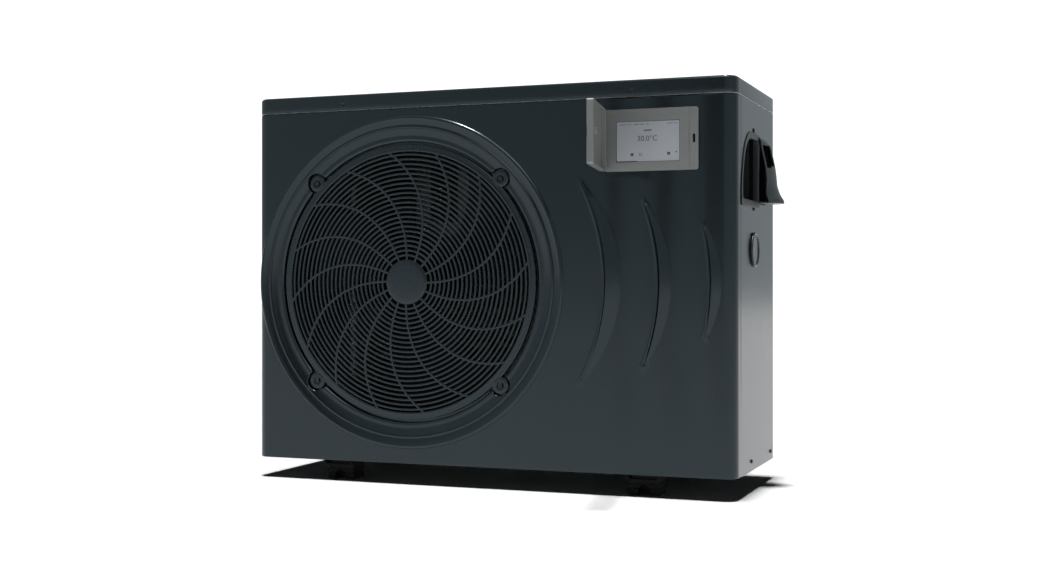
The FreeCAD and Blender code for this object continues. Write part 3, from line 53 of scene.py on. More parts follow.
JOINTS = {joint["name"]: joint for joint in frame["joints"]}
MM = 0.001

# -------- places taken from the frame
lid_low, lid_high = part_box("top_cover")
front_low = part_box("front_panel")[0]
HALF_W, FRONT, BACK, TOP = lid_high.x, lid_low.y, lid_high.y, lid_high.z
LIP_Z = lid_low.z
PANEL_Z0, PANEL_Z1 = front_low.z, lid_low.z - 1.0 * MM
RETURN_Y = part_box("right_side_panel")[0].y - 0.2 * MM
FAN_X, FAN_Z = JOINTS["fan_spin"]["pos_m"][0], JOINTS["fan_spin"]["pos_m"][2]
GRILLE_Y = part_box("fan_grille")[0].y

# -------- driving dimensions, metres
CORNER_R, BACK_CORNER_R = 25 * MM, 8 * MM
SHEET = 1.2 * MM
ROLL = 2.0 * MM                     # rolled edges of the front panel
WELL_R, SURROUND_R, SHELF_R = 279 * MM, 329.3 * MM, 262 * MM
SHELF_DEPTH = 14 * MM
EAR_PITCH_R, POCKET_R = 283 * MM, 21 * MM
EAR_ANGLES = (45, 135, 225, 315)


# ======== mesh helpers
def link(name, mesh, material, body="root", replaces=(), angle=38):
    """Puts a mesh in the scene as a piece that rides on a body."""
    piece = bpy.data.objects.new(name, mesh)
    bpy.context.scene.collection.objects.link(piece)
    if material is not None:
        mesh.materials.clear()
        mesh.materials.append(material)
    mesh.shade_smooth()
    mesh.set_sharp_from_angle(angle=math.radians(angle))
    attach(piece, body)
    if replaces:
        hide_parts(*replaces)
    return piece


def clean(mesh, distance=1e-6):
    """Welds doubled points, drops empty faces and turns every face outwards."""
    shape = bmesh.new()
    shape.from_mesh(mesh)
    bmesh.ops.remove_doubles(shape, verts=shape.verts, dist=distance)
    bmesh.ops.dissolve_degenerate(shape, edges=shape.edges, dist=distance)
    bmesh.ops.recalc_face_normals(shape, faces=shape.faces)
    shape.to_mesh(mesh)
    shape.free()
    return mesh


def mesh_of(name, verts, faces):
    mesh = bpy.data.meshes.new(name)
    mesh.from_pydata([tuple(v) for v in verts], [], faces)
    mesh.update()
    return mesh


def grid_faces(rows, columns, close_rows=False, close_columns=False, start=0):
    """Quads over a rows x columns block of points, row by row."""
    faces = []
    for i in range(rows if close_rows else rows - 1):
        for j in range(columns if close_columns else columns - 1):
            a, b = i * columns + j, i * columns + (j + 1) % columns
            c, d = ((i + 1) % rows) * columns + (j + 1) % columns, ((i + 1) % rows) * columns + j
            faces.append((start + a, start + b, start + c, start + d))
    return faces


class Builder:
    """Collects points and faces of one piece."""
    def __init__(self):
        self.verts, self.faces = [], []

    def block(self, rows, close_rows=False, close_columns=False, caps=False):
        """Skins rows of points of one length; caps closes both ends."""
        start = len(self.verts)
        for row in rows:
            self.verts.extend(row)
        self.faces += grid_faces(len(rows), len(rows[0]), close_rows, close_columns, start)
        if caps:
            count = len(rows[0])
            last = start + count * (len(rows) - 1)
            self.faces.append(tuple(range(start, start + count)))
            self.faces.append(tuple(range(last + count - 1, last - 1, -1)))

    def lathe(self, profile, centre, axis="Y", segments=96):
        """Turns a closed profile of (radius, along) points, in millimetres, about an axis through centre."""
        rows = []
        for k in range(segments):
            c, s = math.cos(2 * math.pi * k / segments), math.sin(2 * math.pi * k / segments)
            row = []
            for r, a in profile:
                r, a = r * MM, a * MM
                turned = (r * c, a, r * s) if axis == "Y" else (a, r * c, r * s)
                row.append(Vector(centre) + Vector(turned))
            rows.append(row)
        self.block(rows, close_rows=True, close_columns=True)

    def slab(self, low, high):
        """A small closed block, for marks and strips that are part of a larger piece."""
        (x0, y0, z0), (x1, y1, z1) = low, high
        ring = [(x0, y0), (x1, y0), (x1, y1), (x0, y1)]
        self.block([[Vector((x, y, z0)) for x, y in ring], [Vector((x, y, z1)) for x, y in ring]],
                   close_columns=True, caps=True)

    def mesh(self, name):
        return clean(mesh_of(name, self.verts, self.faces))


def smooth_curve(points, steps):
    """Catmull-Rom curve through the points, steps samples to each span."""
    pts = [np.array(p, float) for p in points]
    pts = [2 * pts[0] - pts[1]] + pts + [2 * pts[-1] - pts[-2]]
    curve = []
    for p0, p1, p2, p3 in zip(pts, pts[1:], pts[2:], pts[3:]):
        for k in range(steps):
            t = k / steps
            curve.append(0.5 * (2 * p1 + (p2 - p0) * t + (2 * p0 - 5 * p1 + 4 * p2 - p3) * t * t
                                + (3 * p1 - p0 - 3 * p2 + p3) * t ** 3))
    curve.append(pts[-2])
    return curve


def solidify(piece, thickness, offset=-1.0):
    """Gives a skin its sheet thickness and keeps the cut edges crisp."""
    modifier = piece.modifiers.new("thickness", "SOLIDIFY")
    modifier.thickness = thickness
    modifier.offset = offset
    thick = bpy.data.meshes.new_from_object(piece.evaluated_get(bpy.context.evaluated_depsgraph_get()))
    thick.name = piece.data.name
    piece.modifiers.clear()
    piece.data = thick
    thick.shade_smooth()
    thick.set_sharp_from_angle(angle=math.radians(40))


def soften(node, material, width, segments=2, body="root"):
    """A CAD node with its hard edges rounded: the look of a moulded or deburred part."""
    mesh = NODES[node].data.copy()
    mesh.name = node + "_soft"
    shape = bmesh.new()
    shape.from_mesh(mesh)
    bmesh.ops.remove_doubles(shape, verts=shape.verts, dist=2e-6)
    bmesh.ops.dissolve_limit(shape, angle_limit=math.radians(1.5), verts=shape.verts, edges=shape.edges)
    shape.to_mesh(mesh)
    shape.free()
    piece = link(node + "_soft", mesh, material, body, (node,), 40)
    bevel = piece.modifiers.new("rounded edges", "BEVEL")
    bevel.width = width
    bevel.segments = segments
    bevel.limit_method = "ANGLE"
    bevel.angle_limit = math.radians(38)
    bevel.use_clamp_overlap = True
    bevel.harden_normals = True


def smoothstep(t):
    t = min(max(t, 0.0), 1.0)
    return t * t * (3 - 2 * t)


# ======== materials
def surface(name, colour, rough, metal=0.0, tint=(1, 1, 1), tone=0.12, cloud=6.0, grain=900.0, bump=0.15,
            rough_swing=0.08, stretch=(1, 1, 1), specular=0.5):
    """Procedural finish: cloudy tone, uneven gloss and a fine surface grain in the relief.
    cloud and grain are noise scales per metre; tone and rough_swing are how far tone and gloss wander."""
    material = bpy.data.materials.new(name)
    material.use_nodes = True
    nodes, links = material.node_tree.nodes, material.node_tree.links
    shader = nodes["Principled BSDF"]
    shader.inputs["Metallic"].default_value = metal
    shader.inputs["Specular IOR Level"].default_value = specular
    shader.inputs["Specular Tint"].default_value = (*tint, 1)
    place = nodes.new("ShaderNodeTexCoord")
    mapping = nodes.new("ShaderNodeMapping")
    mapping.inputs["Scale"].default_value = stretch
    links.new(place.outputs["Object"], mapping.inputs["Vector"])

    cloudy = nodes.new("ShaderNodeTexNoise")
    cloudy.inputs["Scale"].default_value = cloud
    cloudy.inputs["Detail"].default_value = 4
    links.new(mapping.outputs["Vector"], cloudy.inputs["Vector"])
    ramp = nodes.new("ShaderNodeValToRGB")
    ramp.color_ramp.elements[0].position = 0.3
    ramp.color_ramp.elements[1].position = 0.7
    ramp.color_ramp.elements[0].color = [c * (1 - tone) for c in colour] + [1]
    ramp.color_ramp.elements[1].color = [min(1, c * (1 + tone)) for c in colour] + [1]
    links.new(cloudy.outputs["Fac"], ramp.inputs["Fac"])
    links.new(ramp.outputs["Color"], shader.inputs["Base Color"])

    uneven = nodes.new("ShaderNodeTexNoise")
    uneven.inputs["Scale"].default_value = cloud * 9
    uneven.inputs["Detail"].default_value = 3
    links.new(mapping.outputs["Vector"], uneven.inputs["Vector"])
    gloss = nodes.new("ShaderNodeMapRange")
    gloss.inputs["To Min"].default_value = max(0.02, rough - rough_swing / 2)
    gloss.inputs["To Max"].default_value = rough + rough_swing / 2
    links.new(uneven.outputs["Fac"], gloss.inputs["Value"])
    links.new(gloss.outputs["Result"], shader.inputs["Roughness"])

    fine = nodes.new("ShaderNodeTexNoise")
    fine.inputs["Scale"].default_value = grain
    fine.inputs["Detail"].default_value = 2
    links.new(mapping.outputs["Vector"], fine.inputs["Vector"])
    relief = nodes.new("ShaderNodeBump")
    relief.inputs["Strength"].default_value = bump
    relief.inputs["Distance"].default_value = 0.1 * MM
    links.new(fine.outputs["Fac"], relief.inputs["Height"])
    links.new(relief.outputs["Normal"], shader.inputs["Normal"])
    return material


SHEEN = (0.80, 0.98, 1.06)           # blue-green cast of the paint's reflections
PAINT = surface("cabinet_paint", (0.0045, 0.0066, 0.0078), 0.20, tint=SHEEN, tone=0.08, cloud=3.0,
                grain=1400, bump=0.05, rough_swing=0.03)
GRILLE = surface("grille_plastic", (0.0055, 0.0075, 0.0090), 0.27, tint=SHEEN, tone=0.10, grain=2200,
                 bump=0.12)
BLACK = surface("black_plastic", (0.009, 0.010, 0.011), 0.5, grain=1800, bump=0.25)
GREY = surface("grey_plastic", (0.225, 0.235, 0.232), 0.40, tone=0.05, grain=2400, bump=0.16)
BLADE = surface("blade_plastic", (0.005, 0.006, 0.007), 0.62, grain=1500, bump=0.3, specular=0.14)
CAVITY = surface("shroud_plastic", (0.005, 0.006, 0.007), 0.75, grain=1500, bump=0.3, specular=0.2)
# Near-black and nearly matt: painted shade, for marks that stand in for the shade inside a slot.
PAINTED_SLOT_SHADE = surface("painted_slot_shade", (0.004, 0.004, 0.005), 0.8, grain=1800, specular=0.05)
GALVANISED = surface("galvanised", (0.42, 0.44, 0.45), 0.36, metal=1.0, tone=0.22, cloud=38, grain=700,
                     bump=0.1)
FIN = surface("fin_aluminium", (0.020, 0.022, 0.024), 0.5, metal=0.2, stretch=(1, 1, 0.15), grain=1200)
COPPER = surface("copper", (0.62, 0.30, 0.18), 0.30, metal=1.0, tone=0.25, cloud=14, grain=600, bump=0.08)
BRASS = surface("valve_brass", (0.60, 0.44, 0.20), 0.30, metal=1.0, tone=0.2, cloud=20, grain=900)
ENAMEL = surface("black_enamel", (0.012, 0.012, 0.013), 0.28, tone=0.2, cloud=9, grain=1000, bump=0.3)
PIPE = surface("shell_plastic", (0.095, 0.10, 0.105), 0.42, grain=1400, bump=0.2)
TITANIUM = surface("titanium", (0.40, 0.385, 0.37), 0.32, metal=1.0, tone=0.2, cloud=25)
STEEL = surface("steel", (0.46, 0.47, 0.48), 0.28, metal=1.0, tone=0.15, cloud=30, grain=1500)
SCREW = surface("screw_steel", (0.030, 0.032, 0.035), 0.38, metal=0.6, tone=0.2, cloud=60, grain=2000)
RUBBER = surface("rubber", (0.006, 0.006, 0.006), 0.7, tone=0.2, cloud=30, grain=1600, bump=0.5,
                 specular=0.15)
BOARD = surface("circuit_board", (0.012, 0.085, 0.038), 0.34, tone=0.25, cloud=90, grain=2500)
OFF_WHITE = surface("terminal_plastic", (0.58, 0.57, 0.52), 0.45, grain=1800)
IRON = surface("iron_core", (0.055, 0.055, 0.06), 0.45, metal=0.5, stretch=(1, 1, 14), cloud=8)
BEZEL = surface("gauge_metal", (0.018, 0.019, 0.021), 0.24, tone=0.1, cloud=40, grain=1800, bump=0.1)
DIAL = surface("gauge_face", (0.012, 0.014, 0.016), 0.6, tone=0.15, cloud=50, grain=2400, bump=0.1,
               specular=0.08)
MARK_LIGHT = surface("dial_marks", (0.72, 0.73, 0.72), 0.5, tone=0.05, cloud=90)
MARK_DARK = surface("screen_marks", (0.055, 0.060, 0.068), 0.5, tone=0.05, cloud=90)
NEEDLE = surface("needle_paint", (0.62, 0.045, 0.02), 0.35, tone=0.1, cloud=80)
HANDLE = surface("handle_plastic", (0.030, 0.036, 0.038), 0.30, tone=0.1, grain=2000, bump=0.12)
POCKET_PAINT = surface("pocket_plastic", (0.014, 0.019, 0.021), 0.45, tone=0.1, grain=2000, bump=0.2)


def display_material():
    """Lit screen: a soft bluish glow with a faint cell pattern under a clear window."""
    material = surface("display", (0.40, 0.42, 0.445), 0.14, tone=0.03, cloud=25, grain=3000, bump=0.02)
    nodes, links = material.node_tree.nodes, material.node_tree.links
    shader = nodes["Principled BSDF"]
    cells = nodes.new("ShaderNodeTexVoronoi")
    cells.inputs["Scale"].default_value = 2600
    place = nodes.new("ShaderNodeTexCoord")
    links.new(place.outputs["Object"], cells.inputs["Vector"])
    glow = nodes.new("ShaderNodeMapRange")
    glow.inputs["To Min"].default_value = 0.035
    glow.inputs["To Max"].default_value = 0.055
    links.new(cells.outputs["Distance"], glow.inputs["Value"])
    links.new(glow.outputs["Result"], shader.inputs["Emission Strength"])
    shader.inputs["Emission Color"].default_value = (0.75, 0.85, 1.0, 1)
    return material


def glass_material():
    """Clear gauge window; its low index keeps the dial readable at a flat angle."""
    material = surface("gauge_glass", (0.85, 0.88, 0.90), 0.04, tone=0.02, grain=2000, bump=0.01,
                       rough_swing=0.02)
    shader = material.node_tree.nodes["Principled BSDF"]
    shader.inputs["Transmission Weight"].default_value = 1.0
    shader.inputs["IOR"].default_value = 1.18
    return material


DISPLAY = display_material()
GLASS = glass_material()

# Finishes of the CAD nodes that stay in view as they are.
KEPT_NODES = (
    (PAINT, "left_side_panel right_side_panel rear_guard rear_service_panel base_pan"),
    (GALVANISED, "corner_posts bulkhead coil_end_plates electrical_box electrical_box_lid condenser_straps"),
    # The motor bracket takes black enamel rather than bare zinc: painted shade deep in the fan's well.
    (ENAMEL, "motor_bracket compressor accumulator fan_motor"), (CAVITY, "fan_shroud"),
    (BLADE, "fan_impeller"), (BLACK, "terminal_cap flow_switch"), (FIN, "heatsink"),
    (COPPER, "evaporator_tubes refrigerant_pipes filter_drier"), (BRASS, "four_way_valve expansion_valve"),
    (PIPE, "condenser_shell water_pipes"), (TITANIUM, "condenser_coil"),
    (STEEL, "motor_shaft motor_bearings compressor_studs cover_hinge_pin fan_nut"),
    (RUBBER, "compressor_grommets union_seals"), (BOARD, "inverter_board controller_board"),
    (OFF_WHITE, "terminal_block"), (IRON, "reactor"), (GLASS, "gauge_lens"),
    (SCREW, "machine_screws panel_screws"),
)


def dress_kept_nodes():
    for material, names in KEPT_NODES:
        for node in names.split():
            for slot in NODES[node].material_slots:
                slot.material = material


# ======== front panel
# (tip x, left and right arc x at mid height, mid z, half height, facet height) in mm, then groove share
CRESCENTS = ((194.5, 250.5, 281.0, 401.0, 201.5, 9.0, 0.6), (321.0, 354.5, 378.5, 398.5, 163.0, 8.0, 1.5),
             (437.5, 452.0, 472.5, 400.0, 113.5, 7.4, 0.7))
# Section across a crescent's left arc, as (distance from the arc, height) in millimetres.
RIDGE = ((-6.5, 0.0), (-5.0, 0.3), (-3.4, 0.75), (-1.8, 0.9), (-0.6, 0.6), (0.6, -0.5), (1.6, -1.2),
         (2.6, -0.9))
RIDGE_MARGIN = 7.2                   # mesh line just outside the ridge, mm from the arc
FACET_START = 4.0                    # where the facet begins, mm right of the arc
FACET_LINES = (0.3, 0.65, 0.995, 1.02)    # mesh lines across the facet, as shares of its width
CRESCENT_FADE = 0.55                 # how bluntly a crescent dies away at its tips
WAVE_X, WAVE_PERIOD, WAVE_HEIGHT = 243.0, 97.0, 1.2
WAVE_FOOT, WAVE_RISE = 66, 230       # the waves begin at this height and are full this far above it, mm
WAVE_END, WAVE_RUN_OUT = 506, 24     # and run out over this width before the right corner, mm
# Section of the ring round the fan, as (radius, depth behind the front) in millimetres.
SURROUND = ((279, 6.5), (281, 4.6), (283, 3.9), (292, 3.7), (303.5, 0.4), (305, -0.5), (307, -0.9),
            (309, -0.4), (310.5, 1.5), (312.5, 1.6), (320.5, -0.6), (323, -1.9), (325, -2.2), (327, -1.7),
            (328.8, 0.0), (329.3, 1.5))
FINE_X0, FINE_X1 = 0.18, 0.49        # part of the front, along x in metres, that holds the crescents
CTRL_LOW, CTRL_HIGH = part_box("controller_housing")


def arc_x(tip, middle, half, dz):
    """x of the arc whose chord is vertical at tip and whose crown is at middle, dz above mid height."""
    rise = middle - tip
    radius = (half * half + rise * rise) / (2 * rise)
    return middle - radius + math.sqrt(max(radius * radius - dz * dz, 0.0))


def crescent_height(x, z):
    """Pressed crescents: a rounded ridge, a narrow groove, then a facet that falls to the right arc."""
    for tip, left, right, mid, half, height, groove in CRESCENTS:
        dz = z - mid
        if abs(dz) >= half:
            continue
        x_left, x_right = arc_x(tip, left, half, dz), arc_x(tip, right, half, dz)
        fade = (1 - (dz / half) ** 2) ** CRESCENT_FADE
        beside = x - x_left
        start = min(FACET_START, 0.5 * (x_right - x_left))
        if RIDGE[0][0] < beside < start:
            offsets = [p[0] if p[0] < 0 else p[0] * start / FACET_START for p in RIDGE] + [start]
            heights = [p[1] if p[1] > 0 else p[1] * groove for p in RIDGE] + [height]
            return float(np.interp(beside, offsets, heights)) * fade
        if start <= beside < x_right - x_left:
            return height * fade * (x_right - x) / (x_right - x_left - start)
    return 0.0


def wave_height(x, z):
    """Shallow upright waves across the right part of the panel."""
    if x <= WAVE_X:
        return 0.0
    ends = smoothstep((z - WAVE_FOOT) / WAVE_RISE) * smoothstep((WAVE_END - x) / WAVE_RUN_OUT)
    return WAVE_HEIGHT * (math.cos(2 * math.pi * (x - WAVE_X) / WAVE_PERIOD) - 1) * ends


def panel_height(x, z):
    """Relief of the front sheet in metres, at a place given in millimetres."""
    return (crescent_height(x, z) + wave_height(x, z)) * MM


# The sheet laid flat, measured from the middle of the front.
FLAT = HALF_W - CORNER_R
ARC = CORNER_R * math.pi / 2
RETURN = RETURN_Y - (FRONT + CORNER_R)
ROLL_EXTRA = ROLL * (math.pi / 2 - 1)


def wrap_x(u):
    """Plan position and outward direction at arc length u from the middle of the front."""
    side, a = (1 if u > 0 else -1), abs(u)
    if a <= FLAT:
        return Vector((u, FRONT, 0)), Vector((0, -1, 0))
    turn = min((a - FLAT) / CORNER_R, math.pi / 2)
    along = max(a - FLAT - ARC, 0)
    out = Vector((side * math.sin(turn), -math.cos(turn), 0))
    x, y = side * (FLAT + CORNER_R * math.sin(turn)), FRONT + CORNER_R * (1 - math.cos(turn)) + along
    return Vector((x, y, 0)), out


def unwrap_x(x):
    """Arc length from the middle of the front for a place across it; the opposite of wrap_x."""
    a = abs(x)
    return x if a <= FLAT else math.copysign(FLAT + CORNER_R * math.asin(min((a - FLAT) / CORNER_R, 1)), x)


def roll_z(v):
    """Height and inward offset for a point at v up the sheet, whose top and bottom edges roll inwards."""
    for edge, way in ((PANEL_Z0, -1), (PANEL_Z1, 1)):
        beyond = way * (v - (edge - way * ROLL))
        if beyond > 0:
            turn = min(beyond / ROLL, math.pi / 2)
            return edge - way * ROLL + way * ROLL * math.sin(turn), ROLL * (1 - math.cos(turn))
    return v, 0.0


def skin_point(u, v):
    """Point of the finished front for a place on the flat sheet."""
    base, out = wrap_x(u)
    z, inward = roll_z(v)
    point = base + out * (panel_height(base.x / MM, z / MM) - inward)
    return Vector((point.x, point.y, z))


def steps(start, end, size):
    """Even steps of about this size from start, without the end itself."""
    count = max(1, round((end - start) / size))
    return [start + (end - start) * k / count for k in range(count)]


def sheet_mesh(loops, lines, points, holes):
    """Triangulates the (u, v) sheet inside loops[0], with the given closed loops and open lines as edges."""
    coords, edges = [], []
    for chain, closed in [(c, True) for c in loops] + [(c, False) for c in lines]:
        start = len(coords)
        coords += [Vector(p) for p in chain]
        edges += [(start + k, start + k + 1) for k in range(len(chain) - 1)]
        if closed:
            edges.append((start + len(chain) - 1, start))
    coords += [Vector(p) for p in points]
    verts, _, faces, _, _, _ = delaunay_2d_cdt(coords, edges, [], 0, 1e-7)
    kept = []
    for face in faces:
        middle = sum((verts[i] for i in face), Vector((0, 0))) / len(face)
        if not any(hole(middle) for hole in holes):
            kept.append(face)
    return verts, kept


def crescent_lines():
    """Lines that follow each crescent's arcs, so that its edges stay crisp."""
    lines = []
    for tip, left, right, mid, half, _, _ in CRESCENTS:
        offsets = [-RIDGE_MARGIN] + [p[0] for p in RIDGE] + [FACET_START]
        for offset, share in [(o, None) for o in offsets] + [(None, k) for k in FACET_LINES]:
            count = max(24, round(half / 3.5))
            line = []
            for k in range(2, count - 1):
                dz = -half + 2 * half * k / count
                x_left, x_right = arc_x(tip, left, half, dz), arc_x(tip, right, half, dz)
                start = min(FACET_START, 0.5 * (x_right - x_left))
                if share is None:
                    x = x_left + (offset if offset < 0 else offset * start / FACET_START)
                else:
                    x = x_left + start + (x_right - x_left - start) * share
                if offset is not None and offset < 0 or x_right - x_left > 5:
                    line.append((x * MM, (mid + dz) * MM))
            lines.append(line)
    return lines


def make_front_skin():
    """Front sheet with its rounded corners, crescents, waves, fan opening and controller opening."""
    left, right = -(FLAT + ARC + RETURN), FLAT + ARC + RETURN
    low, high = PANEL_Z0 - ROLL_EXTRA, PANEL_Z1 + ROLL_EXTRA
    columns = steps(left, -FLAT - ARC, 6 * MM) + steps(-FLAT - ARC, -FLAT, 3 * MM)
    columns += steps(-FLAT, FINE_X0, 14 * MM) + steps(FINE_X0, FLAT, 4 * MM)
    columns += steps(FLAT, FLAT + ARC, 3 * MM)
    columns += steps(FLAT + ARC, right, 6 * MM) + [right]
    rows = steps(low, PANEL_Z0 + ROLL, 0.8 * MM) + steps(PANEL_Z0 + ROLL, PANEL_Z1 - ROLL, 6 * MM)
    rows += steps(PANEL_Z1 - ROLL, high, 0.8 * MM) + [high]
    outer = [(u, low) for u in columns] + [(right, v) for v in rows[1:]]
    outer += [(u, high) for u in columns[-2::-1]] + [(left, v) for v in rows[-2:0:-1]]
    ring, radius = [], SURROUND_R + 0.2 * MM
    for k in range(360):
        angle = math.radians(k)
        ring.append((unwrap_x(FAN_X + radius * math.cos(angle)), FAN_Z + radius * math.sin(angle)))
    cut = 6 * MM
    x0, x1, z0, z1 = CTRL_LOW.x + cut + 4 * MM, CTRL_HIGH.x - cut, CTRL_LOW.z + cut, CTRL_HIGH.z - cut
    window = [(x0, z0), (x1, z0), (x1, z1), (x0, z1)]
    lines = crescent_lines()
    near = np.array([p for line in lines for p in line])

    def in_fan(p, extra=0.0):
        x = wrap_x(p[0])[0].x
        return math.hypot(x - FAN_X, p[1] - FAN_Z) < SURROUND_R + extra

    def in_window(p, extra=0.0):
        return x0 - extra < p[0] < x1 + extra and z0 - extra < p[1] < z1 + extra

    points = []
    for u in columns[1:-1]:
        for v in rows[1:-1]:
            if in_fan((u, v), 3 * MM) or in_window((u, v), 1.5 * MM):
                continue
            if FINE_X0 < u < FINE_X1 and np.min(np.hypot(near[:, 0] - u, near[:, 1] - v)) < 1.4 * MM:
                continue
            points.append((u, v))
    verts, faces = sheet_mesh([outer, ring, window], lines, points,
                              [lambda c: in_fan((c.x, c.y)), lambda c: in_window((c.x, c.y))])
    return [skin_point(v.x, v.y) for v in verts], faces


def opening_radius(angle):
    """Edge of the well, which swells round each ear of the grille."""
    for ear in EAR_ANGLES:
        delta = (angle - math.radians(ear) + math.pi) % (2 * math.pi) - math.pi
        across = EAR_PITCH_R * math.sin(delta)
        if abs(delta) < 0.5 and abs(across) <= POCKET_R:
            return EAR_PITCH_R * math.cos(delta) + math.sqrt(POCKET_R ** 2 - across ** 2)
    return WELL_R


def make_surround():
    """Stepped ring round the fan, with the wall of the well and the shelf under the grille."""
    curve = smooth_curve(SURROUND, 4)
    radii, depths = [p[0] * MM for p in curve], [p[1] * MM for p in curve]
    ear_half = math.degrees(math.asin(POCKET_R / EAR_PITCH_R)) - 0.001
    angles = [0.75 * k for k in range(480)]
    for ear in EAR_ANGLES:
        angles += [ear + ear_half * math.sin(math.radians(6 * k)) for k in range(-15, 16)]
    angles = sorted(set(round(a, 4) for a in angles))
    rows = []
    for degrees in angles:
        angle = math.radians(degrees)
        edge = opening_radius(angle)
        top = float(np.interp(edge + 1.2 * MM, radii, depths))
        row = [(SHELF_R, SHELF_DEPTH + SHEET), (SHELF_R, SHELF_DEPTH), (edge - 0.8 * MM, SHELF_DEPTH),
               (edge, SHELF_DEPTH - 0.8 * MM), (edge, top + 1.5 * MM), (edge + 0.35 * MM, top + 0.5 * MM)]
        for r in radii:
            clear = max(r, edge + 1.2 * MM)
            row.append((clear, float(np.interp(clear, radii, depths))))
        row.append((SURROUND_R, 9 * MM))
        rows.append([Vector((FAN_X + r * math.cos(angle), FRONT + d, FAN_Z + r * math.sin(angle)))
                     for r, d in row])
    return rows


def make_front_panel():
    """Front sheet and fan surround in one piece, with the thickness of the sheet."""
    verts, faces = make_front_skin()
    build = Builder()
    build.verts, build.faces = list(verts), [tuple(f) for f in faces]
    rows = make_surround()
    start, count = len(build.verts), len(rows[0])
    for row in rows:
        build.verts.extend(row)
    build.faces += [tuple(reversed(f)) for f in grid_faces(len(rows), count, close_rows=True, start=start)]
    mesh = mesh_of("front_skin", build.verts, build.faces)
    shape = bmesh.new()
    shape.from_mesh(mesh)
    bmesh.ops.remove_doubles(shape, verts=shape.verts, dist=2e-6)
    bmesh.ops.dissolve_degenerate(shape, edges=shape.edges, dist=2e-6)
    shape.to_mesh(mesh)
    shape.free()
    piece = link("front_skin", mesh, PAINT, "root", ("front_panel",), 50)
    solidify(piece, SHEET)


# ======== lid
def plan_loop(inset, z):
    """Plan outline of the cabinet at a height, drawn in by inset."""
    points = []
    corners = ((1, -1, CORNER_R), (1, 1, BACK_CORNER_R), (-1, 1, BACK_CORNER_R), (-1, -1, CORNER_R))
    for sx, sy, radius in corners:
        r = max(radius - inset, 0.3 * MM)
        cx, cy = sx * (HALF_W - inset - r), sy * (BACK - inset - r)
        first = math.atan2(sy, sx) - math.pi / 4
        for k in range(11):
            angle = first + math.pi / 2 * k / 10
            points.append(Vector((cx + r * math.cos(angle), cy + r * math.sin(angle), z)))
    return points


def make_lid():
    """Lid pressed from sheet: hemmed lip, rounded top edge and a faintly crowned top."""
    edge = 6 * MM
    lip = ((3.0, 8.0), (3.0, 0.4), (2.4, 0.0), (0.9, 0.0), (0.25, 0.3), (0.0, 1.2), (0.0, 12.0))
    loops = [(inset * MM, LIP_Z + z * MM) for inset, z in lip]
    for k in range(9):
        turn = math.pi / 2 * k / 8
        loops.append((edge * (1 - math.cos(turn)), TOP - edge + edge * math.sin(turn) - 0.6 * MM))
    loops += [(14 * MM, TOP - 0.45 * MM), (40 * MM, TOP - 0.2 * MM), (90 * MM, TOP)]
    build = Builder()
    build.block([plan_loop(inset, z) for inset, z in loops], close_columns=True)
    count = len(plan_loop(0, 0))
    last = len(build.verts) - count
    build.faces.append(tuple(range(last, last + count)))
    start = len(build.verts)
    build.block([plan_loop(3 * MM, z) for z in (LIP_Z + 8 * MM, TOP - 4 * MM)], close_columns=True)
    build.faces.append(tuple(range(start + count, start + 2 * count)))
    link("lid", build.mesh("lid"), PAINT, "root", ("top_cover",), 35)
    # The hem strip under the lip is given bright steel rather than the lid's paint: a painted highlight line
    # along the seam.
    hem, section = Builder(), ((1.4, 0.12), (1.1, -0.10), (0.68, -0.11), (0.22, 0.32), (0.45, 0.75))
    hem.block([plan_loop(inset * MM, LIP_Z + z * MM) for inset, z in section], close_columns=True)
    link("lid_hem", hem.mesh("lid_hem"), STEEL, "root", (), 35)


# ======== grille
HUB_R, FLANGE_IN, FLANGE_OUT = 44.5, 258.5, 273.0
RING_PITCH, RING_W, RING_COUNT, FIRST_RING = 9.5, 4.3, 22, 53.4
# A spoke's angle in degrees grows by LEAD per mm and by CURL per square mm beyond the hub.
SPOKES, SPOKE_W, SPOKE_PHASE, SPOKE_LEAD, SPOKE_CURL = 16, 4.4, -1.4, 0.0616, 0.000411
# Sections as (radius, depth) in millimetres.
HUB = ((0.01, -0.7), (16, -0.65), (30, -0.45), (38, -0.15), (42.5, 0.35), (44.2, 1.2), (HUB_R, 2.4),
       (HUB_R - 0.5, 6.0), (HUB_R - 3, 6.0), (HUB_R - 4, 2.2), (0.01, 1.6))
FLANGE = ((FLANGE_IN, 6.0), (FLANGE_IN, 1.6), (FLANGE_IN + 0.6, 0.5), (FLANGE_IN + 1.6, 0.05), (262.5, 0.0),
          (264.0, 0.45), (268.6, 0.5), (271.0, 0.45), (272.3, 0.95), (FLANGE_OUT, 2.0), (FLANGE_OUT, 10.6),
          (267.0, 10.6), (266.4, 6.0))
EAR = ((3.0, 5.8), (3.0, 2.4), (6.6, 2.3), (7.0, 0.9), (8.0, 0.25), (9.4, 0.12), (14.0, 0.35), (16.0, 0.7),
       (16.8, 1.5), (17.0, 2.6), (17.0, 6.0))


def bar_section(width, depth, crown):
    """Cross-section of a moulded bar: rounded in front, drafted towards the back."""
    half = width / 2
    side = [(0.62, 0.1 + crown), (0.9, 0.45 + crown), (1, 1.3), (0.72, depth)]
    return ([(-half * share, z) for share, z in reversed(side)] + [(0.0, crown)]
            + [(half * share, z) for share, z in side])


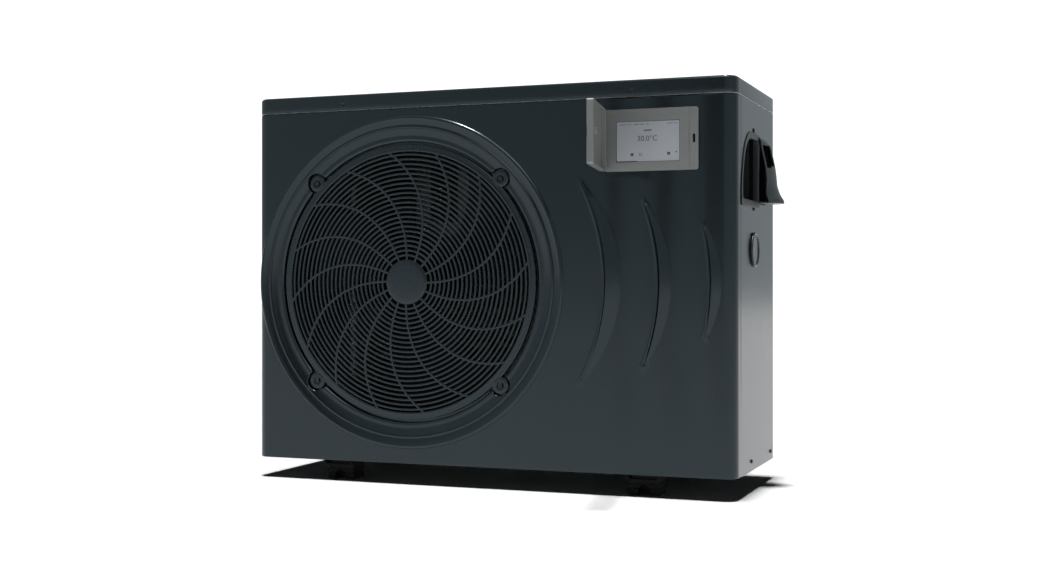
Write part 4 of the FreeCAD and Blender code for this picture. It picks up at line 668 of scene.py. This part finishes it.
def make_grille():
    """Moulded guard: rings, swirled spokes, plain hub disc, flange and four screwed ears."""
    build = Builder()
    centre = Vector((FAN_X, GRILLE_Y, FAN_Z))
    for k in range(RING_COUNT):
        radius = FIRST_RING + RING_PITCH * k
        profile = [(radius + across, deep) for across, deep in bar_section(RING_W, 5.6, 0.35)]
        build.lathe(profile, centre, segments=max(72, int(radius * 0.8)))
    for k in range(SPOKES):
        rows = []
        for r in np.linspace(HUB_R - 2, FLANGE_IN + 2.5, 46):
            d = r - HUB_R
            angle = math.radians(SPOKE_PHASE + 360 / SPOKES * k + SPOKE_LEAD * d + SPOKE_CURL * d * d)
            swing = r * math.radians(SPOKE_LEAD + 2 * SPOKE_CURL * d)
            out = Vector((math.cos(angle), 0, math.sin(angle)))
            turn = Vector((-math.sin(angle), 0, math.cos(angle)))
            along = (out + turn * swing).normalized()
            across = Vector((-along.z, 0, along.x))
            rows.append([centre + (out * r + across * a + Vector((0, b, 0))) * MM
                         for a, b in bar_section(SPOKE_W, 6.0, 0.0)])
        build.block(rows, close_columns=True, caps=True)
    build.lathe(HUB, centre, segments=96)
    build.lathe(FLANGE, centre, segments=288)
    for ear in EAR_ANGLES:
        angle = math.radians(ear)
        at = centre + Vector((math.cos(angle), 0, math.sin(angle))) * EAR_PITCH_R
        build.lathe(EAR, at, segments=56)
    link("grille", build.mesh("grille"), GRILLE, "root", ("fan_grille",), 42)


# ======== coil fins
def make_fins():
    """Thin upright fins round the L-shaped coil, each a separate plate."""
    low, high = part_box("evaporator_fins")
    inner_bend, depth, bend_fins = 26 * MM, 22 * MM, 22
    x_in, y_in = low.x + depth, high.y - depth
    cx, cy = x_in + inner_bend, y_in - inner_bend
    pitch, half = 2.3 * MM, 0.09 * MM
    build = Builder()

    def plate(a, b):
        side = (b - a).normalized().cross(Vector((0, 0, 1))) * half
        ring = [a - side, b - side, b + side, a + side]
        build.block([[Vector((p.x, p.y, low.z)) for p in ring], [Vector((p.x, p.y, high.z)) for p in ring]],
                    close_columns=True, caps=True)

    x = cx
    while x < high.x - 1 * MM:
        plate(Vector((x, y_in, 0)), Vector((x, high.y, 0)))
        x += pitch
    y = cy
    while y > low.y + 1 * MM:
        plate(Vector((low.x, y, 0)), Vector((x_in, y, 0)))
        y -= pitch
    for k in range(1, bend_fins):
        angle = math.pi / 2 + math.pi / 2 * k / bend_fins
        out = Vector((math.cos(angle), math.sin(angle), 0))
        centre = Vector((cx, cy, 0))
        plate(centre + out * inner_bend, centre + out * (inner_bend + depth))
    link("coil_fins", build.mesh("coil_fins"), FIN, "root", ("evaporator_fins",))


# ======== side handle
HOOD_FOOT, HOOD_LENGTH = 553.5, 74
# Front edge of the hood as (distance out from the side, height) in millimetres.
HOOD_LINE = ((0.5, 683), (7, 681.5), (14.5, 676), (19.5, 664), (24, 645), (28.5, 622), (31, 600), (32.5, 588),
             (38, 572), (44.5, 561.5), (46, 557), (46, HOOD_FOOT))
# Rows of the hood, as distances back from its front edge.
HOOD_STEPS = (0, 0.5, 1.6, 3.5, 7, 12, 18, 24, 30, 36, 42, 48, 54, 59, 63, 67, 70, 72, 73.3, HOOD_LENGTH)
WINDOW_ROWS, WINDOW_LOW, WINDOW_HIGH = range(3, 9), 624, 667    # opening through the hood, heights in mm
POCKET = (-130.0, 20.0, 548.0, 680.0)       # front, rear, bottom and top of the hand pocket
POCKET_DEPTH = 36.0
# Section of the pocket's rim and wall as (growth of the outline, distance out from the side).
POCKET_RIM = ((4.3, 0.25), (4.2, 0.45), (-4.5, 0.45), (-5.6, 0.2), (-6.2, -0.8), (-6.6, -8.0),
              (-12.5, -POCKET_DEPTH + 8), (-15.0, -POCKET_DEPTH + 2), (-20.0, -POCKET_DEPTH))
SPINE_Y, SPINE_Z, SPINE_W, SPINE_L = -23.5, 615.5, 16.0, 158.0


def bell_loop():
    """Bell outline of the pocket as (y, z): upright low down, arched up to a flat top."""
    y0, y1, z0, z1 = POCKET
    arch = smooth_curve([(y0, z0 + 6), (y0 + 0.5, z0 + 40), (y0 + 17, z0 + 91), (y0 + 42, z0 + 119),
                         (y0 + 66, z1 - 1.5), (y0 + 78, z1)], 6)
    loop = [(y0 + 3, z0), (y0 + 0.8, z0 + 2)] + [tuple(p) for p in arch]
    loop += [(y1 - 5, z1), (y1 - 1.5, z1 - 1.5), (y1, z1 - 5)]
    loop += [(y1, z0 + 5), (y1 - 1.5, z0 + 1.5), (y1 - 5, z0)]
    dense = []
    for a, b in zip(loop, loop[1:] + loop[:1]):
        span = math.hypot(b[0] - a[0], b[1] - a[1])
        pieces = max(1, round(span / 9))
        dense += [(a[0] + (b[0] - a[0]) * k / pieces, a[1] + (b[1] - a[1]) * k / pieces)
                  for k in range(pieces)]
    return dense


def make_pocket():
    """Bell-shaped hand pocket with a rounded rim."""
    build = Builder()
    outline = bell_loop()
    cy, cz = (POCKET[0] + POCKET[1]) / 2, (POCKET[2] + POCKET[3]) / 2

    def ring(grow, x):
        points = []
        for y, z in outline:
            ky = 1 + 2 * max(grow, -1 + 0.12 * grow) / (POCKET[1] - POCKET[0])
            kz = 1 + 2 * grow / (POCKET[3] - POCKET[2])
            points.append(Vector((HALF_W + x * MM, (cy + (y - cy) * ky) * MM, (cz + (z - cz) * kz) * MM)))
        return points

    build.block([ring(grow, x) for grow, x in POCKET_RIM], close_columns=True)
    count = len(outline)
    last = len(build.verts) - count
    build.faces.append(tuple(range(last, last + count)))
    pocket = build.mesh("hand_pocket")
    piece = link("hand_pocket", pocket, POCKET_PAINT, "root", ("handle_insert",), 40)
    solidify(piece, 1.6 * MM, 1.0)


def make_hood():
    """Hood that bulges out behind the pocket, with its window and the wall inside it, coloured near-black as
    painted shade.
    """
    y_rim, y_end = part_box("handle_insert")[1].y - HOOD_LENGTH * MM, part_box("handle_insert")[1].y
    line = smooth_curve(HOOD_LINE, 5)
    hood = Builder()
    rows = []
    for step in HOOD_STEPS:
        share = (1 - (step / HOOD_LENGTH) ** 4) ** 0.45 if step < HOOD_LENGTH else 0.0
        lip = (1 - min(step / 40, 1)) ** 1.7
        y = y_rim + step * MM
        row = []
        for x, z in line:
            drop = (z - HOOD_FOOT) * (1 - 0.12 * (step / HOOD_LENGTH) ** 2) + HOOD_FOOT
            inset = lip * min(0.62 * x, 13 + 12 * smoothstep((600 - z) / 45))
            row.append(Vector((HALF_W + max((x - inset) * share, 0.35 * share + 0.05) * MM, y, drop * MM)))
        rows.append(row)
    for row in rows:
        hood.verts.extend(row)
    columns = len(rows[0])
    for i in range(len(rows) - 1):
        for j in range(columns - 1):
            z = (rows[i][j].z + rows[i][j + 1].z) / 2 / MM
            if i in WINDOW_ROWS and WINDOW_LOW < z < WINDOW_HIGH:
                continue
            a = i * columns + j
            hood.faces.append((a, a + 1, a + 1 + columns, a + columns))
    foot = [i * columns + columns - 1 for i in range(len(rows))]
    start = len(hood.verts)
    hood.verts.extend([Vector((HALF_W + 0.3 * MM, row[-1].y, row[-1].z)) for row in rows])
    for i in range(len(rows) - 1):
        hood.faces.append((foot[i], start + i, start + i + 1, foot[i + 1]))
    mesh = hood.mesh("handle_hood")
    piece = link("handle_hood", mesh, HANDLE, "root", (), 45)
    solidify(piece, 2.6 * MM)
    # Walls inside the hood in near-black cavity plastic: painted shade of the hood's interior.
    liner = Builder()
    for x0, x1, y0 in ((-30, -0.4, y_end - 0.5 * MM), (-31, -30, y_rim + 2 * MM)):
        liner.slab((HALF_W + x0 * MM, y0, 553 * MM), (HALF_W + x1 * MM, y_end + 1.5 * MM, 684 * MM))
    link("hood_liner", liner.mesh("hood_liner"), CAVITY, "root", ())


def make_spine():
    """Upright rib that stands a little proud of the side, in front of the hood; its near-black colour is
    painted shade of a slot.
    """
    spine = Builder()
    rows = []
    for depth, half in ((-7.0, 8.0), (0.3, 8.0), (0.8, 7.2), (1.0, 5.5), (1.05, 0.0)):
        end = SPINE_L / 2 - 0.4 - (SPINE_W / 2 - half) * 0.4
        rows.append([Vector((HALF_W + depth * MM, y * MM, z * MM)) for y, z in
                     ((SPINE_Y - half, SPINE_Z - end), (SPINE_Y + half, SPINE_Z - end),
                      (SPINE_Y + half, SPINE_Z + end), (SPINE_Y - half, SPINE_Z + end))])
    spine.block(rows, close_columns=True, caps=True)
    link("handle_spine", spine.mesh("handle_spine"), PAINTED_SLOT_SHADE, "root", ())


# ======== controller
TEXT_DEPTH = 0.03 * MM


def text_piece(name, words, size, at, material, facing="front", body="root"):
    """Flat lettering centred on a point, facing the front or the right."""
    curve = bpy.data.curves.new(name, "FONT")
    curve.body = words
    curve.size = size
    curve.align_x = "CENTER"
    curve.align_y = "CENTER"
    curve.extrude = TEXT_DEPTH
    curve.materials.append(material)
    piece = bpy.data.objects.new(name, curve)
    bpy.context.scene.collection.objects.link(piece)
    turn = Matrix.Rotation(math.pi / 2, 4, "X")
    if facing == "right":
        turn = Matrix.Rotation(math.pi / 2, 4, "Z") @ turn
    piece.matrix_world = Matrix.Translation(at) @ turn
    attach(piece, body)


def make_screen():
    """Lit display with a generic reading, a few icons and short bars for its captions."""
    soften("controller_screen", DISPLAY, 0.5 * MM)
    low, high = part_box("controller_screen")
    y = low.y - TEXT_DEPTH
    cx, cz = (low.x + high.x) / 2, (low.z + high.z) / 2
    text_piece("reading", "30.0°C", 14 * MM, (cx - 1 * MM, y, cz + 5 * MM), MARK_DARK)
    marks = Builder()

    def bar(x, z, width, height):
        marks.slab((cx + x * MM, y - 0.05 * MM, cz + z * MM),
                   (cx + (x + width) * MM, y + 0.1 * MM, cz + (z + height) * MM))

    for x, width in ((-56, 13), (-41, 9), (-27, 10), (-15, 8), (-3, 5), (36, 12), (50, 6)):
        bar(x, 31.5, width, 0.9)
    bar(-8, 19.5, 15, 2.2)
    bar(-60.5, -37.6, 40, 1.9)
    for x, z, width, height in ((-60.7, -37.7, 0.8, 75.4), (59.9, -37.7, 0.8, 75.4),
                                (-60.7, 36.9, 121.4, 0.8), (-60.7, -37.7, 121.4, 0.8)):
        bar(x, z, width, height)
    for x, z in ((-33, -24), (37, -23.5)):
        bar(x, z - 2.6, 5.6, 5.2)
    bar(53, -22.5, 2.6, 2.6)
    marks.lathe([(2.1, -0.05), (2.9, -0.05), (2.9, 0.1), (2.1, 0.1)],
                (cx - 14 * MM, y, cz - 24 * MM), segments=28)
    link("screen_marks", marks.mesh("screen_marks"), MARK_DARK, "root", ())


LATCH_X = 423.2


def make_controller():
    """Housing, open cover and screen, with the catch at the bottom of its slot painted near-black as the
    slot's shade.
    """
    soften("controller_housing", GREY, 0.9 * MM, 3)
    soften("controller_cover", GREY, 0.8 * MM, 3, body="cover")
    make_screen()
    z = (CTRL_LOW.z + CTRL_HIGH.z) / 2 / MM
    build = Builder()
    for across, tall, y0, y1 in ((2.3, 7.8, 17.8, 18.8), (0.9, 6.6, 17.3, 18.0)):
        build.slab(((LATCH_X - across) * MM, CTRL_LOW.y + y0 * MM, (z - tall) * MM),
                   ((LATCH_X + across) * MM, CTRL_LOW.y + y1 * MM, (z + tall) * MM))
    link("latch_catch", build.mesh("latch_catch"), PAINTED_SLOT_SHADE, "root", ())


# ======== gauge
# Sections of the gauge as (radius, distance out from the side) in millimetres.
GAUGE_CASE = ((0.01, -28), (29.0, -28), (29.8, -27), (29.8, 0.3), (32.6, 0.35), (33.0, 1.0), (33.0, 3.6),
              (32.4, 4.8), (31.2, 5.4), (30.0, 5.3), (28.9, 4.6), (28.3, 3.2), (28.1, 0.0), (28.0, -6),
              (0.01, -6))
GAUGE_FACE = ((1.4, -5.7), (27.7, -5.7), (27.7, -4.7), (24.0, -4.7), (23.7, -4.85), (2.8, -4.85), (2.4, -4.7),
              (1.4, -4.7))
TICKS, TICK_R, NUMBER_R = 51, 23.2, 15.6
DIAL_START, DIAL_SWEEP = 225, 270    # degrees; the scale runs clockwise


def make_gauge():
    """Pressure gauge: case and stem, dial with its scale and figures, and the needle."""
    low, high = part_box("gauge_case")
    at = Vector((HALF_W, (low.y + high.y) / 2, (low.z + high.z) / 2))
    case = Builder()
    case.lathe(GAUGE_CASE, at, "X", 96)
    case.lathe([(0.01, -7), (1.0, -7), (1.0, -0.6), (0.6, -0.2), (0.01, -0.2)], at, "X", 20)
    case.lathe([(0.01, -40), (3.4, -40), (4, -39), (4, -27), (0.01, -27)], at, "X", 24)
    link("gauge_body", case.mesh("gauge_body"), BEZEL, "root", ("gauge_case",), 35)
    face = Builder()
    face.lathe(GAUGE_FACE, at, "X", 96)
    link("gauge_plate", face.mesh("gauge_plate"), DIAL, "root", ("gauge_dial",))
    ticks = Builder()
    for k in range(TICKS):
        angle = math.radians(DIAL_START - DIAL_SWEEP * k / (TICKS - 1))
        long = 3.6 if k % 10 == 0 else (2.6 if k % 5 == 0 else 1.6)
        out = Vector((0, math.cos(angle), math.sin(angle)))
        side = Vector((0, -math.sin(angle), math.cos(angle))) * (0.32 if k % 5 == 0 else 0.16) * MM
        a, b = at + out * TICK_R * MM, at + out * (TICK_R - long) * MM
        rows = []
        for depth in (-4.9, -4.72):
            shift = Vector((depth * MM, 0, 0))
            rows.append([a - side + shift, a + side + shift, b + side + shift, b - side + shift])
        ticks.block(rows, close_columns=True, caps=True)
    link("gauge_ticks", ticks.mesh("gauge_ticks"), MARK_LIGHT, "root", ())
    for k in range(6):
        angle = math.radians(DIAL_START - DIAL_SWEEP * k / 5)
        place = at + Vector((-4.7 * MM, NUMBER_R * MM * math.cos(angle), NUMBER_R * MM * math.sin(angle)))
        text_piece("dial_number_%d" % k, str(10 * k), 4.6 * MM, place, MARK_LIGHT, "right")
    soften("gauge_pointer", NEEDLE, 0.15 * MM, 1, body="needle")


# ======== stage, camera and light
FLOOR_Z, SIDES = -0.4 * MM, 96


def make_floor():
    """Wide matt white disc, just under the feet."""
    build, turn = Builder(), 2 * math.pi / SIDES
    build.block([[Vector((r * math.cos(turn * k), r * math.sin(turn * k), FLOOR_Z)) for k in range(SIDES)]
                 for r in (0.02, 1.0, 3.0, 9.0, 24.0)], close_columns=True)
    build.faces.append(tuple(range(SIDES)))
    mesh = mesh_of("floor", build.verts, build.faces)
    floor = bpy.data.objects.new("floor", mesh)
    bpy.context.scene.collection.objects.link(floor)
    material = surface("floor_paint", (0.86, 0.86, 0.86), 0.9, tone=0.01, cloud=0.5, grain=60, bump=0.02,
                       specular=0.0)
    mesh.materials.append(material)


# Brightness of the studio seen in reflections, as (place, tone): place runs from front to back, then from
# left to right, and the second run only counts towards the front.
STUDIO_LEVEL = 0.68
DEPTH_TONE = ((0.0, 0.88), (0.30, 0.86), (0.52, 0.60), (0.75, 0.80), (1.0, 0.72))
SIDE_TONE = ((0.0, 1.0), (0.24, 0.95), (0.34, 0.74), (0.405, 0.70), (0.43, 0.2), (0.50, 0.2), (0.55, 0.75),
             (1.0, 0.9))
STUDIO_TINT = (0.90, 1.0, 1.04, 1)
FILL_LEVEL, BACKDROP_LEVEL = 0.006, 1.2     # light that reaches matt surfaces, and the white behind the unit


def make_world():
    """White backdrop, a studio that only reflections see, and next to no diffuse fill."""
    world = bpy.data.worlds.new("studio")
    bpy.context.scene.world = world
    world.use_nodes = True
    nodes, links = world.node_tree.nodes, world.node_tree.links
    nodes.clear()
    place = nodes.new("ShaderNodeTexCoord")
    split = nodes.new("ShaderNodeSeparateXYZ")
    links.new(place.outputs["Generated"], split.inputs["Vector"])

    def ramp(source, stops):
        node = nodes.new("ShaderNodeValToRGB")
        node.color_ramp.interpolation = "EASE"
        while len(node.color_ramp.elements) < len(stops):
            node.color_ramp.elements.new(0.5)
        for element, (position, value) in zip(node.color_ramp.elements, stops):
            element.position = position
            element.color = (value, value, value, 1)
        remap = nodes.new("ShaderNodeMapRange")
        remap.inputs["From Min"].default_value = -1
        links.new(source, remap.inputs["Value"])
        links.new(remap.outputs["Result"], node.inputs["Fac"])
        return node.outputs["Color"]

    depth_tone = ramp(split.outputs["Y"], DEPTH_TONE)
    side_tone = ramp(split.outputs["X"], SIDE_TONE)
    front_only = nodes.new("ShaderNodeMapRange")
    front_only.inputs["From Min"].default_value = -0.75
    front_only.inputs["From Max"].default_value = -0.2
    links.new(split.outputs["Y"], front_only.inputs["Value"])
    mixed = nodes.new("ShaderNodeMix")
    mixed.data_type = "RGBA"
    mixed.blend_type = "MULTIPLY"
    inverse = nodes.new("ShaderNodeMath")
    inverse.operation = "SUBTRACT"
    inverse.inputs[0].default_value = 1.0
    links.new(front_only.outputs["Result"], inverse.inputs[1])
    links.new(inverse.outputs["Value"], mixed.inputs["Factor"])
    links.new(depth_tone, mixed.inputs["A"])
    links.new(side_tone, mixed.inputs["B"])

    def backdrop(colour, strength, source=None):
        node = nodes.new("ShaderNodeBackground")
        node.inputs["Color"].default_value = colour
        node.inputs["Strength"].default_value = strength
        if source:
            links.new(source, node.inputs["Color"])
        return node.outputs["Background"]

    tint = nodes.new("ShaderNodeMix")
    tint.data_type = "RGBA"
    tint.blend_type = "MULTIPLY"
    tint.inputs["Factor"].default_value = 1.0
    tint.inputs["B"].default_value = STUDIO_TINT
    links.new(mixed.outputs["Result"], tint.inputs["A"])
    seen = nodes.new("ShaderNodeLightPath")
    shader = backdrop((1, 1, 1, 1), STUDIO_LEVEL, tint.outputs["Result"])
    for share, other in (("Is Diffuse Ray", backdrop((0.9, 1.0, 1.05, 1), FILL_LEVEL)),
                         ("Is Camera Ray", backdrop((1, 1, 1, 1), BACKDROP_LEVEL))):
        choose = nodes.new("ShaderNodeMixShader")
        links.new(seen.outputs[share], choose.inputs["Fac"])
        links.new(shader, choose.inputs[1])
        links.new(other, choose.inputs[2])
        shader = choose.outputs["Shader"]
    output = nodes.new("ShaderNodeOutputWorld")
    links.new(shader, output.inputs["Surface"])


def aimed_lamp(name, kind, energy, direction):
    """Light of a kind that shines along a direction."""
    light = bpy.data.lights.new(name, kind)
    light.energy = energy
    lamp = bpy.data.objects.new(name, light)
    bpy.context.scene.collection.objects.link(lamp)
    lamp.rotation_euler = direction.to_track_quat("-Z", "Y").to_euler()
    return lamp


def make_lamps():
    """Softbox that only reflections see, and a wide sun that whitens the floor."""
    at, target = Vector((0.75, -1.35, 2.6)), Vector((0.1, -0.1, 0.4))
    softbox = aimed_lamp("overhead_box", "AREA", 15, target - at)
    softbox.location = at
    softbox.data.shape = "RECTANGLE"
    softbox.data.size, softbox.data.size_y = 1.6, 1.2
    softbox.visible_diffuse = False
    aimed_lamp("top_light", "SUN", 4.0, Vector((0.01, 0.02, -1))).data.angle = math.radians(5)


def make_camera():
    """Eye-level camera off the right front corner, as in the photo."""
    data = bpy.data.cameras.new("camera")
    data.lens = 48.5
    data.sensor_width = 36
    data.shift_y = -0.0014
    camera = bpy.data.objects.new("camera", data)
    bpy.context.scene.collection.objects.link(camera)
    camera.location = (1.0459, -2.7075, 0.398)
    camera.rotation_euler = (math.radians(90), 0, math.radians(20.76))
    bpy.context.scene.camera = camera


# ======== whole unit
make_camera()
make_floor()
make_world()
make_lamps()
bpy.context.scene.view_settings.view_transform = "Standard"
make_front_panel()
make_lid()
make_grille()
make_fins()
make_pocket()
make_hood()
make_spine()
make_controller()
make_gauge()
for softened, finish, rounding, slot_name in (
        ("rubber_feet", RUBBER, 0.8 * MM, "rubber"), ("base_rails", CAVITY, 0.5 * MM, "galvanised"),
        ("union_tails", BLACK, 0.6 * MM, "black_plastic"), ("cable_glands", BLACK, 0.6 * MM, "black_plastic"),
        ("drain_nozzle", BLACK, 0.5 * MM, "black_plastic")):
    soften(softened, finish, rounding)
soften("inlet_union_nut", BLACK, 0.8 * MM, 2, "inlet_nut")
soften("outlet_union_nut", BLACK, 0.8 * MM, 2, "outlet_nut")
dress_kept_nodes()
